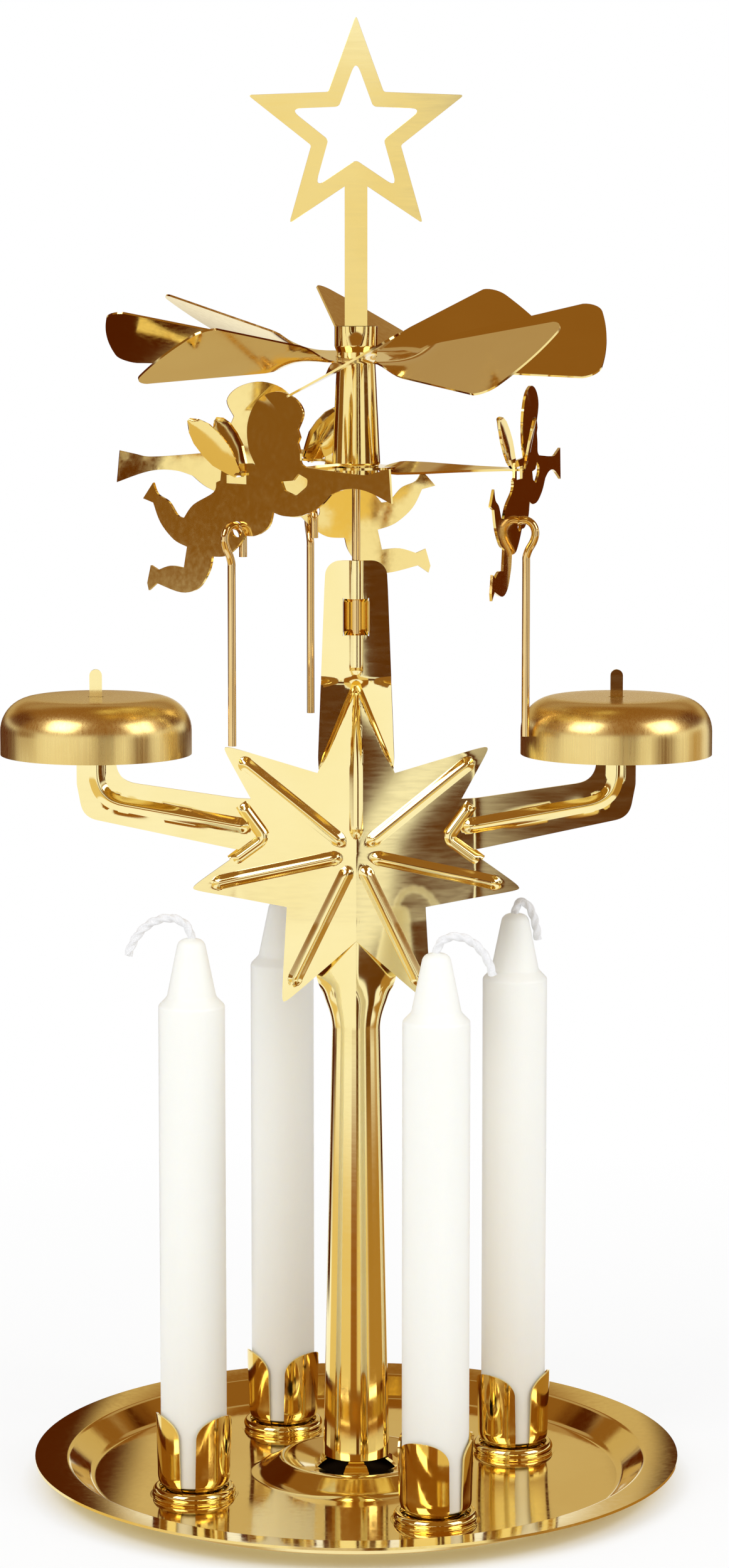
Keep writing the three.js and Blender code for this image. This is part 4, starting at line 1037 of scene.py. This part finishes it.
def makeTopStar():
    half, low = topStar["strip"] / 2, topStar["low"]
    centre = low + topStar["length"] + topStar["inner"]
    hole = fiveStar(topStar["cut"], topStar["cutInner"], centre, topStar["cutRounding"])
    line = fiveStar(topStar["outer"], topStar["inner"], centre, topStar["rounding"])
    # the strip takes the place of the lowest notch
    notch = min(range(len(line)), key=lambda k: abs(line[k][0]) * 9 + line[k][1])
    foot = line[notch][1]
    root = foot + (line[notch + 6][1] - foot) / abs(line[notch + 6][0]) * half
    before, after = [[spot for spot in part if abs(spot[0]) > half or spot[1] > foot + 3]
                     for part in (line[:notch], line[notch + 1:])]
    outline = before + [(half, root), (half, low), (-half, low), (-half, root)] + after
    finishPiece("topOrnament", outlineMesh("topStar", outline, (hole,)), sheetBrass, "rotor", "top_star",
                wall=topStar["sheet"], bevel=topStar["edge"], sharp=20)


makeTopStar()
print("top star made")


# floor, world and lamps; the two fades and the lamps are in metres, the other lengths in millimetres

# dark is the colour of the painted shadow on the disc under the tray
studio = {"floor": 3000.0, "floorLevel": -0.05, "trayFade": (0.058, 0.066), "shadowFade": (0.08, 0.3),
          "floorWhite": 0.75, "fill": 0.7, "shade": 40.0, "shadeLevel": -0.02, "middle": 140.0,
          "dark": ((0.02, 0.012, 0.006), (0.03, 0.018, 0.009))}
lamps = {"keyLamp": {"power": 9.0, "size": 0.9, "place": (-0.9, -0.9, 1.1)},
         "sideLamp": {"power": 5.0, "size": 0.7, "place": (1.0, -0.5, 0.8)}}


def seenRays(tree):
    # one for the rays that show the background: camera, gloss and glass
    rays = addNode(tree, "ShaderNodeLightPath", {})
    shown = addMath(tree, "MAXIMUM", rays["Is Camera Ray"], rays["Is Glossy Ray"])
    return addMath(tree, "MAXIMUM", shown, rays["Is Transmission Ray"])


def blendSurface(tree, share, first, second):
    blend = addNode(tree, "ShaderNodeMixShader", {0: share, 1: first, 2: second})
    fillInputs(tree, tree.nodes["Material Output"], {"Surface": blend[0]})


def makeFloor():
    half, level = studio["floor"], studio["floorLevel"]
    mesh = gridMesh("floor", [[(x, y, level) for x in (-half, half)] for y in (-half, half)])
    material, tree = newMaterial("paleFloor")
    setSurface(tree, {"Base Color": (0.9, 0.9, 0.9, 1), "Roughness": 0.9, "Specular IOR Level": 0})
    spot = addNode(tree, "ShaderNodeTexCoord", {})["Object"]
    far = addNode(tree, "ShaderNodeVectorMath", {0: spot}, operation="LENGTH")["Value"]
    white = addMath(tree, "MULTIPLY", addRamp(tree, far, *studio["trayFade"], 0, 1),
                    addRamp(tree, far, *studio["shadowFade"], studio["floorWhite"], 1))
    blendSurface(tree, addMath(tree, "MULTIPLY", white, seenRays(tree)),
                 tree.nodes["Principled BSDF"].outputs[0], addNode(tree, "ShaderNodeEmission", {})[0])
    mesh.materials.append(material)
    floor = toObject("floor", mesh)
    floor.visible_glossy = False


def makeShade():
    # a dark disc of painted shadow, for the table under the tray's openings that gets no light
    rim = [polar(studio["shade"], 360 * k / 96, studio["shadeLevel"]) for k in range(96)]
    mesh = meshOf("underTray", rim, [tuple(range(96))])
    material, tree = newMaterial("paintedShadowTable")
    # painted shadow: a near-black colour with fine noise
    tint = addTint(tree, addNoise(tree, (200, 200, 200)), *studio["dark"])
    setSurface(tree, {"Base Color": tint, "Roughness": 0.9, "Specular IOR Level": 0})
    mesh.materials.append(material)
    toObject("underTray", mesh)


def makeWorld():
    world = bpy.data.worlds.new("studio")
    bpy.context.scene.world = world
    world.use_nodes = True
    tree = world.node_tree
    fillInputs(tree, tree.nodes["Background"], {
        "Color": (1, 1, 1, 1), "Strength": addRamp(tree, seenRays(tree), 0, 1, studio["fill"], 1)})


def addLamp(name, look):
    data = bpy.data.lights.new(name, "AREA")
    data.energy = look["power"]
    data.size = look["size"]
    lamp = toObject(name, data)
    lamp.location = look["place"]
    target = Vector((0, 0, studio["middle"] * mm))
    lamp.rotation_euler = (target - Vector(look["place"])).to_track_quat("-Z", "Y").to_euler()


def addCard(name, turns, rises, shade, soft, distance):
    # a coloured card that only shows in the polish of the brass, given by its edges in degrees
    # to the right of the camera and above the level, with soft borders
    wholeTurn = turns[1] - turns[0] > 359
    rows, shares = [], []
    for rise in [lerp(*rises, i / 40) for i in range(41)]:
        row = []
        for turn in [lerp(*turns, j / 40) for j in range(41)]:
            row.append(polar(distance * cos(radians(rise)), turn - 90,
                             distance * sin(radians(rise)) + studio["middle"]))
            across = 1 if wholeTurn else ease(min(turn - turns[0], turns[1] - turn), 0, soft)
            shares.append(across * ease(min(rise - rises[0], rises[1] - rise), 0, soft))
        rows.append(row)
    mesh = gridMesh(name, rows)
    mesh.attributes.new("cover", "FLOAT", "POINT").data.foreach_set("value", shares)
    material, tree = newMaterial(name)
    cover = addNode(tree, "ShaderNodeAttribute", {}, attribute_name="cover")["Fac"]
    blendSurface(tree, cover, addNode(tree, "ShaderNodeBsdfTransparent", {})[0],
                 addNode(tree, "ShaderNodeEmission", {"Color": (*shade, 1)})[0])
    mesh.materials.append(material)
    card = toObject(name, mesh)
    for rays in ("camera", "diffuse", "shadow", "transmission"):
        setattr(card, f"visible_{rays}", False)


makeFloor()
makeShade()
makeWorld()
for name, look in lamps.items():
    addLamp(name, look)
# what the polish mirrors: a brown room above, gold in front and below, and dark bands beside it;
# each card has its turns, its rises, its colour, the width of its border and its distance
cards = {
    "canopy": ((-180, 180), (9, 112), (0.28, 0.125, 0.026), 5, 2000),
    "backLow": ((140, 220), (4, 21.5), (0.62, 0.48, 0.25), 3, 1900),
    "backHigh": ((140, 220), (27, 48), (0.46, 0.33, 0.2), 3, 1900),
    "backUnder": ((140, 220), (-62, -25), (0.56, 0.43, 0.25), 4, 1900),
    "nearRight": ((1.5, 11), (-20, 14), (0.1, 0.03, 0.003), 1.5, 1900),
    "right": ((13.2, 23.5), (-10.3, 14), (0.1, 0.03, 0.003), 0.8, 1900),
    "farRight": ((43, 73), (-16, 10), (0.13, 0.045, 0.006), 5, 1900),
    "left": ((-106, -72), (-6, 12), (0.24, 0.11, 0.022), 3, 1900),
    "backLeft": ((-178, -104), (-16, 9), (0.1, 0.018, 0.001), 5, 1900),
    "backRight": ((138, 172), (-9, 8), (0.1, 0.018, 0.001), 3, 1850),
    "front": ((-5, 2.2), (-2.5, 7), (0.89, 0.79, 0.55), 0.8, 1880),
    "sideRight": ((92, 122), (-14, 8), (0.5, 0.33, 0.13), 4, 1900),
    "highLeft": ((-136, -96), (12, 42), (0.1, 0.018, 0.001), 5, 1850),
    "highRight": ((96, 136), (12, 42), (0.1, 0.018, 0.001), 5, 1850),
    "lowFront": ((-118, 50), (-42, -11), (0.79, 0.6, 0.26), 3, 1860),
    "lowMiddle": ((-23, 8), (-40, -9.5), (0.3, 0.11, 0.013), 4, 1840),
    "lowRight": ((46, 160), (-40, -9.5), (0.42, 0.22, 0.045), 4, 1840),
    "trayLeft": ((200, 236), (-52, 4), (0.08, 0.015, 0.001), 4, 170),
    "trayRight": ((122, 156), (-42, 4), (0.07, 0.012, 0.001), 4, 170)}
for name, look in cards.items():
    addCard(name, *look)
print("studio made")
